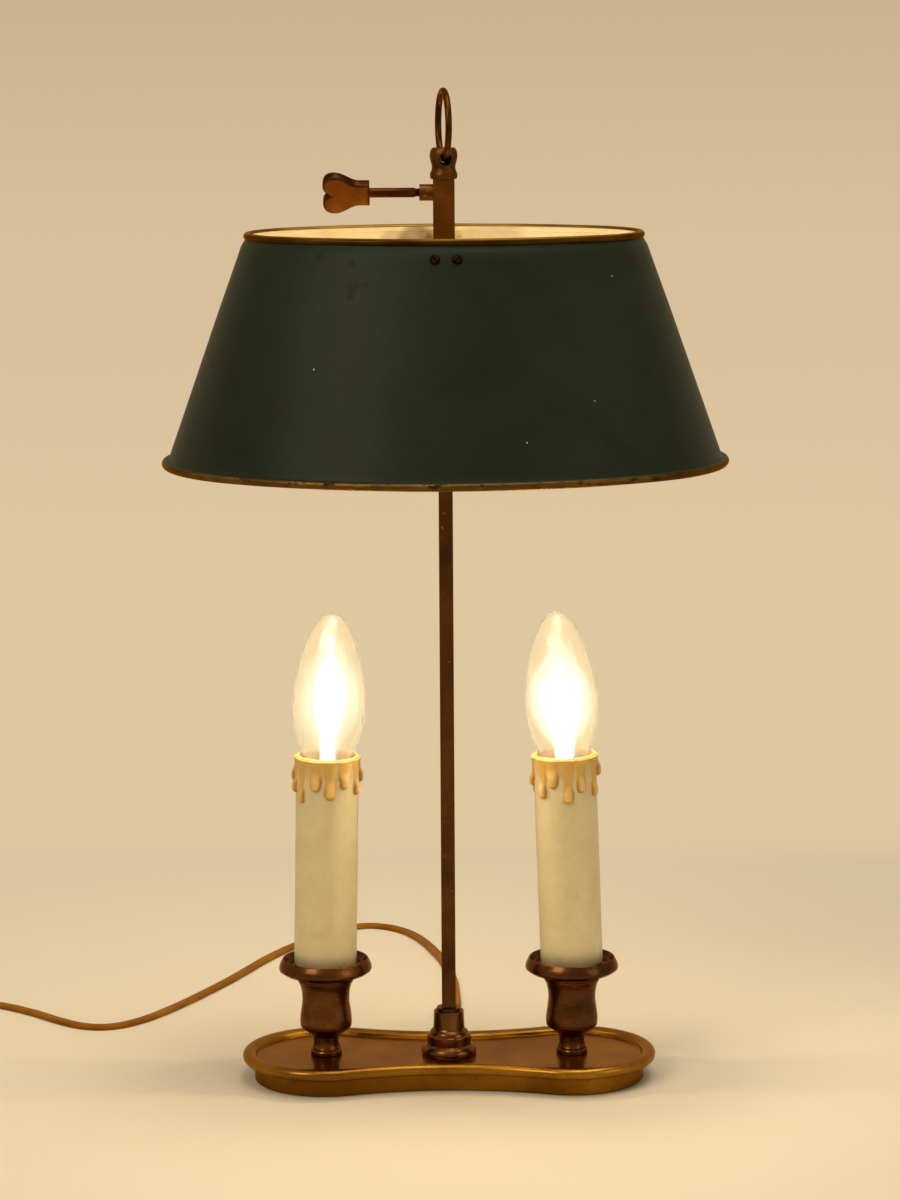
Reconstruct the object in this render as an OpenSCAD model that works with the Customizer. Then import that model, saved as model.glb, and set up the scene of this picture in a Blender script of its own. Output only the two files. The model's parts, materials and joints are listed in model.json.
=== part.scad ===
// Bouillotte lamp: a low tray with two candle lights, a square stem between them, and an
// oval metal shade on a square tube that slides on the stem and is locked by a heart key.
// Millimetres. +X is the lamp's right, +Y its back, +Z up.
// The origin is the middle of the base, on the table.

/* [Base] */
// Distance from the stem to each candle
candle_x = 57.8; // [52:0.1:70]
// Radius of each round end of the tray
lobe_r = 39.3; // [34:0.1:46]
// Half the depth of the tray at its waist
waist_y = 30; // [29:0.5:32]
// Height of the tray floor above the table
floor_z = 11.4; // [11:0.1:14]
// Thickness of the tray floor
floor_t = 1.5; // [1:0.1:2]
// Height of the rolled rim above the tray floor
rim_rise = 2.6; // [2:0.1:4]
// Radius of the rim's outer roll
rim_r = 2.7; // [2.4:0.1:3]
// Width of the rim
rim_w = 6.6; // [6:0.1:8]
// How far the skirt stands inside the rim
skirt_inset = 5.6; // [5:0.1:7]
// Thickness of the skirt
skirt_t = 2; // [1.5:0.1:2.5]
// Height of the skirt's lower edge above the table
skirt_lift = 0.4; // [0.3:0.1:0.8]
// Thickness of the felt pad
felt_t = 1.4; // [1:0.1:1.6]
// Thickness of the bottom plate
plate_t = 1; // [0.8:0.1:1.2]

/* [Stem] */
// Width of the square stem rod
rod_w = 6.5; // [5.4:0.1:7.8]
// Height of the stem's shoulder, where the finial stands
stem_top = 421; // [380:1:505]
// Radius of the threaded end under the tray
stem_thread_r = 3; // [2.5:0.1:3.2]
// Radius of the threaded end in the finial
top_thread_r = 2.4; // [2:0.1:2.6]
// Radius of the collar's foot
collar_r = 13; // [12:0.1:15]
// Height of the collar
collar_h = 20.9; // [18:0.1:24]
// Wall of the collar's ferrule
ferrule_t = 1.3; // [1:0.1:1.6]

/* [Finial and ring] */
// Height of the ring's hole above the finial's foot
ring_hole_up = 9; // [8.6:0.1:9.4]
// Thickness of the ring's wire
wire_d = 3; // [2.4:0.1:3.2]
// Outer diameter of the ring
ring_d = 33.6; // [28:0.1:40]
// How far the ring and its hole are turned from front to back
ring_yaw = 9; // [0:1:20]

/* [Slider and key] */
// Width of the square sliding tube
tube_w = 9.8; // [9.5:0.1:12]
// Length of the sliding tube
tube_len = 43; // [41:1:60]
// Clearance between the stem and the tube, on each side
slide_play = 0.1; // [0.05:0.01:0.1]
// Depth of the key's axis below the top of the tube
key_drop = 5.8; // [5:0.1:8]
// Radius of the key's screw
key_screw_r = 1.95; // [1.5:0.05:2.2]
// Radius of the key's plain shank
key_shank_r = 2.2; // [2.1:0.05:2.8]
// Length of the key's plain shank
key_shank_len = 21; // [15:1:30]
// Length of the threaded neck that shows beside the boss
key_neck_len = 1.6; // [1:0.1:4]
// Length of the heart from its shank end to its lobes
heart_len = 21.2; // [18:0.1:26]
// Height across the heart's two lobes
heart_h = 20; // [16:0.1:24]
// Thickness of the heart
heart_t = 5; // [4:0.1:6]
// Turn of the key about its own axis as stored
key_tilt = 38; // [0:1:90]
// Length of the boss that the key screws into
boss_len = 6.2; // [4:0.1:9]
// Radius of that boss
boss_r = 3.75; // [3.2:0.05:4.5]

/* [Shade] */
// Half the width of the shade at its upper edge
shade_a = 89.9; // [75:0.1:108]
// Half the depth of the shade at its upper edge
shade_b = 57.1; // [50:0.1:68]
// Radius of the shade's end curves at its upper edge
end_r = 41.9; // [36:0.1:46]
// Height of the shade between its two beads
shade_h = 103.3; // [86:0.1:124]
// How much further out the lower bead lies than the upper one
shade_spread = 38.6; // [36:0.1:42]
// Slope of the wall from upright
shade_slope = 19.6; // [16:0.1:20]
// Thickness of the shade's sheet metal
sheet_t = 0.8; // [0.5:0.1:1]
// Radius of the upper bead
top_bead_r = 1.8; // [1.5:0.1:2.2]
// Radius of the lower bead
low_bead_r = 2; // [1.7:0.1:2.4]
// Depth of the shade's upper edge below the top of the tube
shade_drop = 25; // [22:0.5:27]
// Width of the strap that carries the shade
strap_w = 18; // [16:0.5:22]
// Thickness of that strap
strap_t = 1.5; // [1:0.1:2]
// Depth of the shade screws below the upper edge
screw_drop = 7.2; // [6.8:0.1:7.6]
// Distance between the two screws of a pair
screw_gap = 9.8; // [9:0.1:11]
// How far the screw pairs lie off the shade's middle
screw_shift = 0.9; // [0:0.1:1]

/* [Candles] */
// Length of the candle sleeve
sleeve_len = 100; // [84:1:120]
// Outer radius of the candle sleeve
sleeve_r = 14.6; // [14.2:0.1:17.5]
// Wall of the candle sleeve
sleeve_t = 1.75; // [1.2:0.05:2]
// Height of the cup's pan floor above the tray
cup_h = 43.3; // [38:0.1:52]
// Lean of the left candle towards the stem, in degrees
lean_left = 1.2; // [0:0.1:2]
// Lean of the right candle towards the stem, in degrees
lean_right = 1.9; // [0:0.1:2]
// Further lean of the left bulb
tip_left = 1.1; // [0:0.1:1.5]
// Further lean of the right bulb
tip_right = 1.5; // [0:0.1:1.5]
// Radius of the threaded tube that carries the cup and the holder
nipple_r = 5; // [4.5:0.1:5.2]

/* [Bulbs] */
// Largest radius of the bulb
bulb_r = 17.4; // [16:0.1:18]
// Height of the bulb's tip above the candle's top
bulb_rise = 67; // [60:1:72]
// Distance from the bulb's tip to its widest place
bulb_crown = 43.5; // [40:0.5:48]
// Radius of the cap's screw shell
cap_r = 6.95; // [6.9:0.05:7]

/* [Cord] */
// Width of the flat twin cord
cord_w = 5; // [4.6:0.1:5.2]
// Thickness of the flat twin cord
cord_t = 2.6; // [2.4:0.1:2.8]
// Turns of the put-away coil
coil_turns = 6; // [6:2:8]
// Smallest radius of the coil's turns
coil_in_r = 20; // [20:0.5:22]
// Length of the switch on the cord
switch_len = 56; // [54:1:58]
// Width of the switch
switch_w = 26; // [22:1:28]
// Height of the switch
switch_h = 15; // [15:0.5:18]

/* [Hidden] */
$fn = 96;
small_fn = 48;

// Colours of the finishes
bronze = "#5a3618";
gilt = "#8a6226";
steel = "#8d8d88";
shade_green = "#26352a";
bead_gold = "#8a6a2a";
ivory = "#e6d8ac";
phenolic = "#4a2c1a";
amber = "#a5702f";
dark_brown = "#3a2416";

// Clearances: a seat between pieces that do not move, a free gap, and a running fit
seat = 0.1;
gap = 0.3;
run = 0.05;

// Heights
rim_top = floor_z + rim_rise;
rim_mid = rim_top - rim_r;
floor_low = floor_z - floor_t;
plate_z = felt_t;
plate_top = plate_z + plate_t;
tube_top = stem_top - gap;
key_z = tube_top - key_drop;
shade_z = tube_top - shade_drop;
pan_z = floor_z + cup_h;

// Round ends of the tray, joined by hollow arcs that touch them without a corner
waist_r = (candle_x * candle_x + waist_y * waist_y - lobe_r * lobe_r) / (2 * (lobe_r - waist_y));
waist_c = waist_y + waist_r;
waist_angle = atan2(waist_c, candle_x);

// Four arcs of the shade's oval, drawn about two end centres and two side centres
oval_c = shade_a - end_r;
oval_e = shade_b - end_r;
oval_k = (oval_c * oval_c - oval_e * oval_e) / (2 * oval_e);
side_r = shade_b + oval_k;
oval_angle = atan2(oval_k, oval_c);

// The shade's wall: a short rounded shoulder, the straight slope and the lower flare
shoulder_h = 4.6;
shoulder_out = 2.5;
flare_h = 5.5;
function wall_out(depth) = shoulder_out + (depth - shoulder_h) * tan(shade_slope);

// Stem, bush and ferrule follow the rod
rod_corner = rod_w / 2 * sqrt(2);
bush_r = rod_corner + 1.05;
ferrule_r = bush_r + seat + ferrule_t;
ferrule_foot = 13.6;
nut_flat = 10;
washer_t = 1;
washer_r = 6.2;
stem_nut_t = 4.5;
stem_thread_len = 7.8;
top_thread_len = 4.6;

// Ring
ring_r = (ring_d - wire_d) / 2;
ring_z = stem_top + ring_hole_up;
knob_r = 6.3;

// Candle parts, measured from the top of the sleeve
sleeve_in = sleeve_r - sleeve_t;
bulb_wide = bulb_rise - bulb_crown;
bulb_belly = 33;
bulb_neck = 5;
cap_top = bulb_wide - bulb_belly - 0.2;
cap_low = cap_top - 14.3;
cap_tip = cap_low - 5.5;
holder_top = cap_top;
holder_low = cap_tip - 8.5;
holder_r = sleeve_in - 1.35;
holder_floor = 2;
shell_r = cap_r + run + 1.2;
bracket_t = 1.2;
nut_t = 3;
nipple_nut_flat = 14;
nipple_bore = nipple_r - 1.5;
nipple_low = floor_low - nut_t - 1.4;
nipple_top = pan_z + bracket_t + nut_t + 3;

function lean_of(side) = side > 0 ? -lean_right : lean_left;
function tip_of(side) = side > 0 ? lean_of(side) - tip_right : lean_of(side) + tip_left;
function lift_of(side) = sleeve_r * sin(abs(lean_of(side)));
function sleeve_top(side) = [
    side * candle_x + sleeve_len * sin(lean_of(side)), 0,
    pan_z + lift_of(side) + sleeve_len * cos(lean_of(side))];
function lamp_point(side, z) = sleeve_top(side) + z * [sin(tip_of(side)), 0, cos(tip_of(side))];

// Wax runs: [turn from the front, length, width], clockwise seen from above is negative
left_runs = [[-150, 18, 4], [-120, 14, 4.4], [-95, 12, 4], [-76, 17, 3.8], [-51, 21, 4.2],
    [-20, 14, 4.6], [7, 18, 4.8], [34, 13, 4.4], [66, 17, 4.2], [92, 12, 4], [125, 19, 4.4],
    [160, 14, 4.6]];
right_runs = [[-155, 15, 4.4], [-118, 20, 4.2], [-84, 14, 4], [-47, 19, 4.4], [-25, 13, 4.6],
    [3, 21, 4.6], [28, 16, 4.2], [60, 19, 4.2], [86, 10, 4], [120, 16, 4.4], [158, 19, 4.6]];

// Wiring inside the base
block_size = [14, 16, 5.6];
block_at = [24, 4, floor_low - block_size[2] / 2];
post_x = 38;
post_r = 3;
post_screw_r = 1.45;
core_r = 1;
gland_z = 4.2;
gland_r = 3.7;
gland_tip_r = 3;
gland_flange_r = 3.75;
gland_flange_t = 1.6;
skirt_back = waist_y - skirt_inset;
gland_end = 47;
grip_y = 17.5;
grip_low = plate_top + 1.2;
grip_screw_r = 1.2;
tail_z = 4.9;

// Cord on the table: from the gland to the switch, from there to the coil, and to the plug
lie = cord_t / 2;
switch_z = 7;
free_route = [[0, 47, gland_z], [0, 52, gland_z], [0, 62, 3.6], [0.5, 74, 2.2], [1.5, 87, lie],
    [2.5, 101, lie], [3.5, 116, lie], [3.5, 131, lie], [3, 146, lie], [2.5, 161, lie],
    [1, 178, lie], [-1, 194, lie], [-3.5, 210, lie], [-7, 225, lie], [-11, 240, lie],
    [-16, 255, lie], [-23, 269, lie], [-32, 279, lie], [-43, 283.5, lie], [-53, 280, lie],
    [-62, 272, lie], [-71, 260, lie], [-80, 245.5, lie], [-89, 229, lie], [-97.5, 211, lie],
    [-105, 192, lie], [-113, 172, lie], [-121.5, 153, lie], [-131, 133, lie],
    [-141, 114, lie], [-151.5, 97.5, lie], [-162, 87, lie], [-172, 83.5, lie],
    [-182.5, 86.5, lie], [-194, 96, lie], [-206, 108.5, lie], [-218, 119, lie],
    [-229, 126.5, lie], [-239, 131.6, 2.6], [-248, 134.2, 5.4], [-256, 135, switch_z],
    [-262, 135, switch_z]];
link_route = [[-318, 135, switch_z], [-322.5, 135, switch_z], [-331, 133.3, 6.2],
    [-338, 128.6, 5], [-342.8, 121.5, 3.8], [-344.5, 113, 2.9], [-344.5, 103, 2.4],
    [-344.5, 91, 2.4], [-344.5, 79, 2.4]];
lead_route = [[-344.5, 69, 5.5], [-344.5, 64, 5.5], [-344.5, 54, 4.9], [-344.5, 44, 5.3],
    [-344.5, 36, 6.4], [-344.5, 31, 6.5], [-344.5, 26, 6.5]];
switch_x = -290;
switch_y = 135;
plug_x = -344.5;
plug_y = 26;
plug_z = 6.5;

// Coil: turns a little over a cord's width apart, in two layers
coil_x = -308;
coil_y = 74;
coil_pitch = cord_w + 0.5;
coil_layer = cord_t + 0.5;
coil_out_r = coil_in_r + coil_pitch * coil_turns / 2;
rings_per_turn = 24;
tie_t = 0.8;
tie_w = 7;
coil_z = tie_t + gap + lie;

// Sections of the cord: eight flat sides where it lies free, six in the coil
free_section = [for (a = [22.5 : 45 : 337.5])
    [cord_w / 2 * cos(a) / cos(22.5), cord_t / 2 * sin(a) / sin(67.5)]];
coil_section = [[cord_w / 2, 0], [cord_w / 4, cord_t / 2], [-cord_w / 4, cord_t / 2],
    [-cord_w / 2, 0], [-cord_w / 4, -cord_t / 2], [cord_w / 4, -cord_t / 2]];
core_section = [for (a = [0 : 45 : 315]) core_r * [cos(a), sin(a)]];

// ---- Curves ----

// Points of an arc, without its last one
function arc(centre, r, from, to, steps) = [for (i = [0 : steps - 1])
    centre + r * [cos(from + (to - from) * i / steps), sin(from + (to - from) * i / steps)]];

// Points of a cubic curve, without its last one
function bezier(a, b, c, d, steps) = [for (i = [0 : steps - 1]) let (t = i / steps, u = 1 - t)
    u * u * u * a + 3 * u * u * t * b + 3 * u * t * t * c + t * t * t * d];

function mirrored(points) = [for (i = [len(points) - 1 : -1 : 0]) [points[i][0], -points[i][1]]];

function unit(v) = v / norm(v);

// Direction of a route at one of its points
function heading(route, i) =
    unit(route[min(i + 1, len(route) - 1)] - route[max(i - 1, 0)]);

function across(direction) = unit(cross(abs(direction[2]) > 0.9 ? [0, 1, 0] : [0, 0, 1], direction));

// A closed tube with the given section at each point of a route
module tube(route, section) {
    sides = len(section);
    last = len(route) - 1;
    points = [for (i = [0 : last]) let (h = heading(route, i), s = across(h), u = cross(h, s))
        for (q = section) route[i] + q[0] * s + q[1] * u];
    skin = [for (i = [0 : last - 1]) for (j = [0 : sides - 1])
        let (k = (j + 1) % sides, a = i * sides + j, b = i * sides + k)
        for (face = [[a, a + sides, b + sides], [a, b + sides, b]]) face];
    first_cap = [for (j = [1 : sides - 2]) [0, j, j + 1]];
    last_cap = [for (j = [1 : sides - 2]) [last * sides, last * sides + j + 1, last * sides + j]];
    polyhedron(points, concat(skin, first_cap, last_cap), convexity = 10);
}

// ---- Shared shapes ----

// Stations along an arc, without its last one: each is a point and its outward normal, which
// faces the arc's centre where out is -1
function stations(centre, r, from, to, steps, out) = [for (i = [0 : steps - 1])
    let (a = from + (to - from) * i / steps, n = [cos(a), sin(a)]) [centre + r * n, out * n]];

// The tray's outline: two round ends and two hollow sides
tray_stations = concat(
    stations([candle_x, 0], lobe_r, waist_angle - 180, 180 - waist_angle, 40, 1),
    stations([0, waist_c], waist_r, -waist_angle, waist_angle - 180, 10, -1),
    stations([-candle_x, 0], lobe_r, waist_angle, 360 - waist_angle, 40, 1),
    stations([0, -waist_c], waist_r, 180 - waist_angle, waist_angle, 10, -1));

// The outer face of the shade's upper edge: two end curves and two side curves
shade_stations = concat(
    stations([oval_c, 0], end_r, -oval_angle, oval_angle, 20, 1),
    stations([0, -oval_k], side_r, oval_angle, 180 - oval_angle, 16, 1),
    stations([-oval_c, 0], end_r, 180 - oval_angle, 180 + oval_angle, 20, 1),
    stations([0, oval_k], side_r, 180 + oval_angle, 360 - oval_angle, 16, 1));

// A closed ring round the stations. The profile's first number is the distance outside them
// and its second the height, and it runs anticlockwise.
module loop_sweep(stops, profile) {
    n = len(stops);
    m = len(profile);
    points = [for (s = stops) for (q = profile)
        [s[0][0] + q[0] * s[1][0], s[0][1] + q[0] * s[1][1], q[1]]];
    faces = [for (i = [0 : n - 1]) for (j = [0 : m - 1])
        let (a = i * m + j, b = i * m + (j + 1) % m,
            c = (i + 1) % n * m + (j + 1) % m, d = (i + 1) % n * m + j)
        for (face = [[a, b, c], [a, c, d]]) face];
    polyhedron(points, faces, convexity = 10);
}

function tray_outline(inset) = [for (s = tray_stations) s[0] - inset * s[1]];

module tray_plate(inset, z, thickness) {
    translate([0, 0, z]) linear_extrude(thickness) polygon(tray_outline(inset));
}

// A round bead of twelve flat sides, at a distance outside the shade's upper edge
module shade_bead(out, z, r) {
    loop_sweep(shade_stations, arc([out, z], r, 0, 360, 12));
}

module hex_nut(flat, thickness, bore) {
    difference() {
        cylinder(h = thickness, r = flat / sqrt(3), $fn = 6);
        translate([0, 0, -1]) cylinder(h = thickness + 2, r = bore, $fn = small_fn);
    }
}

module pipe(h, r, bore) {
    difference() {
        cylinder(h = h, r = r);
        translate([0, 0, -1]) cylinder(h = h + 2, r = bore);
    }
}

module square_bar(w, h) {
    translate([-w / 2, -w / 2, 0]) cube([w, w, h]);
}

module at_post() {
    for (side = [-1, 1]) translate([side * post_x, 0, 0]) children();
}

// ---- Base ----

// The rim is a full roll outside, and falls in a hollow curve to the floor inside
module base_tray() {
    inner = -rim_w;
    rim_profile = concat(
        arc([-rim_r, rim_mid], rim_r, 200, 460, 13),
        bezier([-rim_r - 0.5, rim_top], [inner + 1, rim_top - 0.2],
            [inner, floor_z + 1.4], [inner - 0.1, floor_z + 0.6], 5),
        [[inner - 0.1, floor_z + 0.6], [inner - 0.5, floor_z - 0.4]]);
    color(gilt) difference() {
        union() {
            loop_sweep(tray_stations, rim_profile);
            tray_plate(1.5 * rim_r, floor_low, floor_t);
        }
        translate([0, 0, floor_low - 1]) cylinder(h = floor_t + 2, r = stem_thread_r + gap);
        for (side = [-1, 1]) translate([side * candle_x, 0, floor_low - 1])
            cylinder(h = floor_t + 2, r = nipple_r + gap);
    }
}

module base_skirt() {
    color(gilt) difference() {
        translate([0, 0, skirt_lift]) linear_extrude(floor_low - skirt_lift) difference() {
            polygon(tray_outline(skirt_inset));
            polygon(tray_outline(skirt_inset + skirt_t));
        }
        translate([0, skirt_back - skirt_t - 2, gland_z]) rotate([-90, 0, 0])
            cylinder(h = skirt_t + 4, r = gland_tip_r + seat);
    }
}

// Room for the gland's inner flange in the edge of the plate and the felt
module gland_notch() {
    deep = gland_flange_t + 2 * gap;
    translate([-gland_flange_r - gap, skirt_back - skirt_t - deep, -1])
        cube([2 * (gland_flange_r + gap), deep + skirt_t, plate_top + 2]);
}

module bottom_plate() {
    color(steel) difference() {
        tray_plate(skirt_inset + skirt_t + gap, plate_z, plate_t);
        at_post() translate([0, 0, plate_z - seat]) cylinder(
            h = plate_t + 2 * seat, r1 = 2 * (post_screw_r + seat), r2 = post_screw_r + 2 * seat);
        gland_notch();
    }
}

module bottom_screws() {
    color(steel) at_post() {
        translate([0, 0, plate_z]) cylinder(h = plate_t, r1 = 2 * post_screw_r, r2 = post_screw_r);
        translate([0, 0, plate_z + plate_t]) cylinder(h = 5, r = post_screw_r);
    }
}

module plate_posts() {
    color(steel) at_post() translate([0, 0, plate_top])
        pipe(floor_low - plate_top, post_r, post_screw_r + run);
}

module felt_pad() {
    color("#33402c") difference() {
        tray_plate(skirt_inset + skirt_t + 2 * gap, 0, felt_t);
        gland_notch();
    }
}

// ---- Stem ----

module stem_rod() {
    color(bronze) {
        translate([0, 0, floor_z]) square_bar(rod_w, stem_top - floor_z);
        translate([0, 0, floor_z - stem_thread_len]) cylinder(h = stem_thread_len, r = stem_thread_r);
        translate([0, 0, stem_top]) cylinder(h = top_thread_len, r = top_thread_r);
    }
}

module stem_collar() {
    bore = rod_corner + gap;
    step_r = collar_r - 2.7;
    cove_r = collar_r - 3.6;
    top = floor_z + collar_h;
    color(bronze) rotate_extrude() polygon(concat(
        [[bore, floor_z], [collar_r - 0.5, floor_z]],
        bezier([collar_r - 0.3, floor_z + 0.4], [collar_r + 0.2, floor_z + 2],
            [collar_r - 0.3, floor_z + 3.6], [step_r + 0.4, floor_z + 4.7], 7),
        bezier([step_r, floor_z + 5], [step_r, floor_z + 7], [step_r, floor_z + 8],
            [step_r, floor_z + 8.6], 1),
        bezier([step_r, floor_z + 8.8], [step_r, floor_z + 9.4], [step_r - 0.4, floor_z + 9.6],
            [cove_r, floor_z + 9.6], 3),
        bezier([cove_r - 0.1, floor_z + 9.8], [cove_r - 0.4, floor_z + 11.6],
            [ferrule_r + 0.4, floor_z + 11.4], [ferrule_r, floor_z + ferrule_foot], 6),
        [[ferrule_r, top - 0.3], [ferrule_r - 0.3, top], [bush_r + seat, top],
            [bush_r + seat, floor_z + ferrule_foot - 1], [bore, floor_z + ferrule_foot - 1]]));
}

module stem_bush() {
    color(bronze) translate([0, 0, floor_z + ferrule_foot - 1]) difference() {
        cylinder(h = collar_h - ferrule_foot + 2.5, r = bush_r);
        translate([0, 0, -1]) square_bar(rod_w + 2 * seat, collar_h);
    }
}

module stem_washer() {
    color(steel) translate([0, 0, floor_low - washer_t]) pipe(washer_t, washer_r, stem_thread_r + seat);
}

module stem_nut() {
    color(steel) translate([0, 0, floor_low - washer_t - stem_nut_t])
        hex_nut(nut_flat, stem_nut_t, stem_thread_r + run);
}

// The hole for the ring widens to both faces, because the ring curves up inside it
module ring_hole() {
    reach = knob_r + 0.7;
    flare = ring_r - sqrt(ring_r * ring_r - reach * reach);
    for (turn = [0, 180]) translate([0, 0, ring_z]) rotate([0, 0, ring_yaw + turn])
        rotate([-90, 0, 0]) cylinder(h = reach, r1 = wire_d / 2 + seat, r2 = wire_d / 2 + seat + flare);
}

module finial() {
    color(bronze) difference() {
        translate([0, 0, stem_top]) rotate_extrude() polygon(concat(
            [[0, 0], [knob_r - 0.5, 0]],
            bezier([knob_r - 0.3, 0.2], [knob_r + 0.1, 1], [knob_r, 2], [knob_r - 0.2, 3], 4),
            bezier([knob_r - 0.5, 3.4], [knob_r - 1, 4], [knob_r - 1, 5.4], [knob_r - 0.8, 7], 5),
            bezier([knob_r - 0.4, 8], [knob_r + 0.4, 10], [knob_r + 0.1, 14.2],
                [knob_r - 2, 14.2], 10),
            [[0, 14.3]]));
        translate([0, 0, stem_top - 1]) cylinder(h = top_thread_len + 1.2, r = top_thread_r + run);
        ring_hole();
    }
}

module carrying_ring() {
    color(bronze) translate([0, 0, ring_z + ring_r]) rotate([0, 0, ring_yaw]) rotate([0, 90, 0])
        rotate_extrude() translate([ring_r, 0]) circle(r = wire_d / 2, $fn = small_fn);
}

// ---- Slider and key ----

module slider_tube() {
    color(bronze) difference() {
        translate([0, 0, tube_top - tube_len]) square_bar(tube_w, tube_len);
        translate([0, 0, tube_top - tube_len - 1]) square_bar(rod_w + 2 * slide_play, tube_len + 2);
        translate([-tube_w, 0, key_z]) rotate([0, 90, 0])
            cylinder(h = tube_w, r = key_screw_r + run, $fn = small_fn);
    }
}

module clamp_boss() {
    color(bronze) translate([-tube_w / 2 - boss_len, 0, key_z]) rotate([0, 90, 0])
        pipe(boss_len, boss_r, key_screw_r + run);
}

function heart_outline() = let (
    half = heart_h / 2,
    neck_h = 0.28 * heart_h,
    neck_l = 0.24 * heart_len,
    lobe_x = -0.76 * heart_len,
    notch_x = -0.89 * heart_len,
    upper = concat(
        bezier([0, neck_h], [-0.5 * neck_l, neck_h], [-0.8 * neck_l, neck_h], [-neck_l, neck_h], 1),
        bezier([-neck_l, neck_h], [-0.42 * heart_len, 0.6 * half],
            [-0.54 * heart_len, half], [lobe_x, half], 9),
        bezier([lobe_x, half], [-0.92 * heart_len, half],
            [-heart_len, 0.78 * half], [-heart_len, 0.48 * half], 7),
        bezier([-heart_len, 0.48 * half], [-heart_len, 0.28 * half],
            [-0.97 * heart_len, 0.14 * half], [notch_x, 0], 5)))
    concat(upper, [[notch_x, 0]], mirrored(upper));

module clamp_key() {
    face = tube_w / 2 + boss_len + key_neck_len;
    heart_x = -face - key_shank_len;
    tip = -rod_w / 2 - run;
    color(bronze) translate([0, 0, key_z]) rotate([key_tilt, 0, 0]) {
        translate([heart_x, 0, 0]) rotate([90, 0, 0]) translate([0, 0, -heart_t / 2])
            linear_extrude(heart_t) polygon(heart_outline());
        translate([heart_x, 0, 0]) rotate([0, 90, 0]) cylinder(h = key_shank_len, r = key_shank_r);
        translate([-face, 0, 0]) rotate([0, 90, 0]) cylinder(h = face + tip, r = key_screw_r);
    }
}

// ---- Shade ----

// Places its children on the wall's outer face at each screw, with +Z along the screw, outwards
module at_shade_screws() {
    for (turn = [0, 180]) for (x = [screw_shift - screw_gap / 2, screw_shift + screw_gap / 2])
        rotate([0, 0, turn]) translate([0, oval_k, 0])
            rotate([0, 0, asin(x / (side_r + wall_out(screw_drop)))])
                translate([0, -side_r - wall_out(screw_drop), shade_z - screw_drop])
                    rotate([90 - shade_slope, 0, 0]) children();
}

module screw_hole() {
    translate([0, 0, -6]) cylinder(h = 12, r = 1.4 + seat, $fn = small_fn);
}

module shade_body() {
    low = shade_h - flare_h;
    outer = [[0, 0], [0.35 * shoulder_out, -0.25 * shoulder_h], [shoulder_out, -shoulder_h],
        [wall_out(low), -low], [0.4 * wall_out(low) + 0.6 * shade_spread, 0.4 - shade_h + 0.35 * flare_h],
        [shade_spread, -shade_h]];
    wall = concat([for (i = [len(outer) - 1 : -1 : 0]) outer[i]],
        [for (q = outer) q - [sheet_t, 0]]);
    color(shade_green) difference() {
        translate([0, 0, shade_z]) loop_sweep(shade_stations, wall);
        at_shade_screws() screw_hole();
    }
}

module shade_top_bead() {
    color(bead_gold) shade_bead(-sheet_t / 2, shade_z, top_bead_r);
}

module shade_bottom_bead() {
    color(bead_gold) shade_bead(shade_spread - sheet_t / 2, shade_z - shade_h, low_bead_r);
}

// A flat bar across the shade, with both ends bent up along the wall
module shade_strap() {
    tab_top = shoulder_h + 0.4;
    tab_low = 16;
    half_angle = asin(strap_w / 2 / (side_r + wall_out(tab_low)));
    function inner_out(depth) = wall_out(depth) - sheet_t - gap;
    bar_half = shade_b + inner_out(tab_low) - strap_t / 2;
    color(steel) difference() {
        union() {
            for (turn = [0, 180]) rotate([0, 0, turn]) translate([0, -oval_k, shade_z])
                rotate([0, 0, 90 - half_angle]) rotate_extrude(angle = 2 * half_angle)
                    translate([side_r, 0]) polygon([
                        [inner_out(tab_low), -tab_low], [inner_out(tab_top), -tab_top],
                        [inner_out(tab_top) - strap_t, -tab_top],
                        [inner_out(tab_low) - strap_t, -tab_low]]);
            translate([-strap_w / 2, -bar_half, shade_z - tab_low])
                cube([strap_w, 2 * bar_half, strap_t]);
        }
        translate([0, 0, shade_z - tab_low - 1]) square_bar(tube_w, strap_t + 2);
        at_shade_screws() screw_hole();
    }
}

module shade_screws() {
    color(dark_brown) at_shade_screws() {
        translate([0, 0, 0.15]) cylinder(h = 1.3, r1 = 2.3, r2 = 1.6, $fn = small_fn);
        translate([0, 0, -5]) cylinder(h = 5.2, r = 1.4, $fn = small_fn);
    }
}

module shade_nuts() {
    color(steel) at_shade_screws() translate([0, 0, -sheet_t - strap_t - 2.2])
        hex_nut(5, 2, 1.4 + run);
}

// ---- Candles ----

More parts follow.
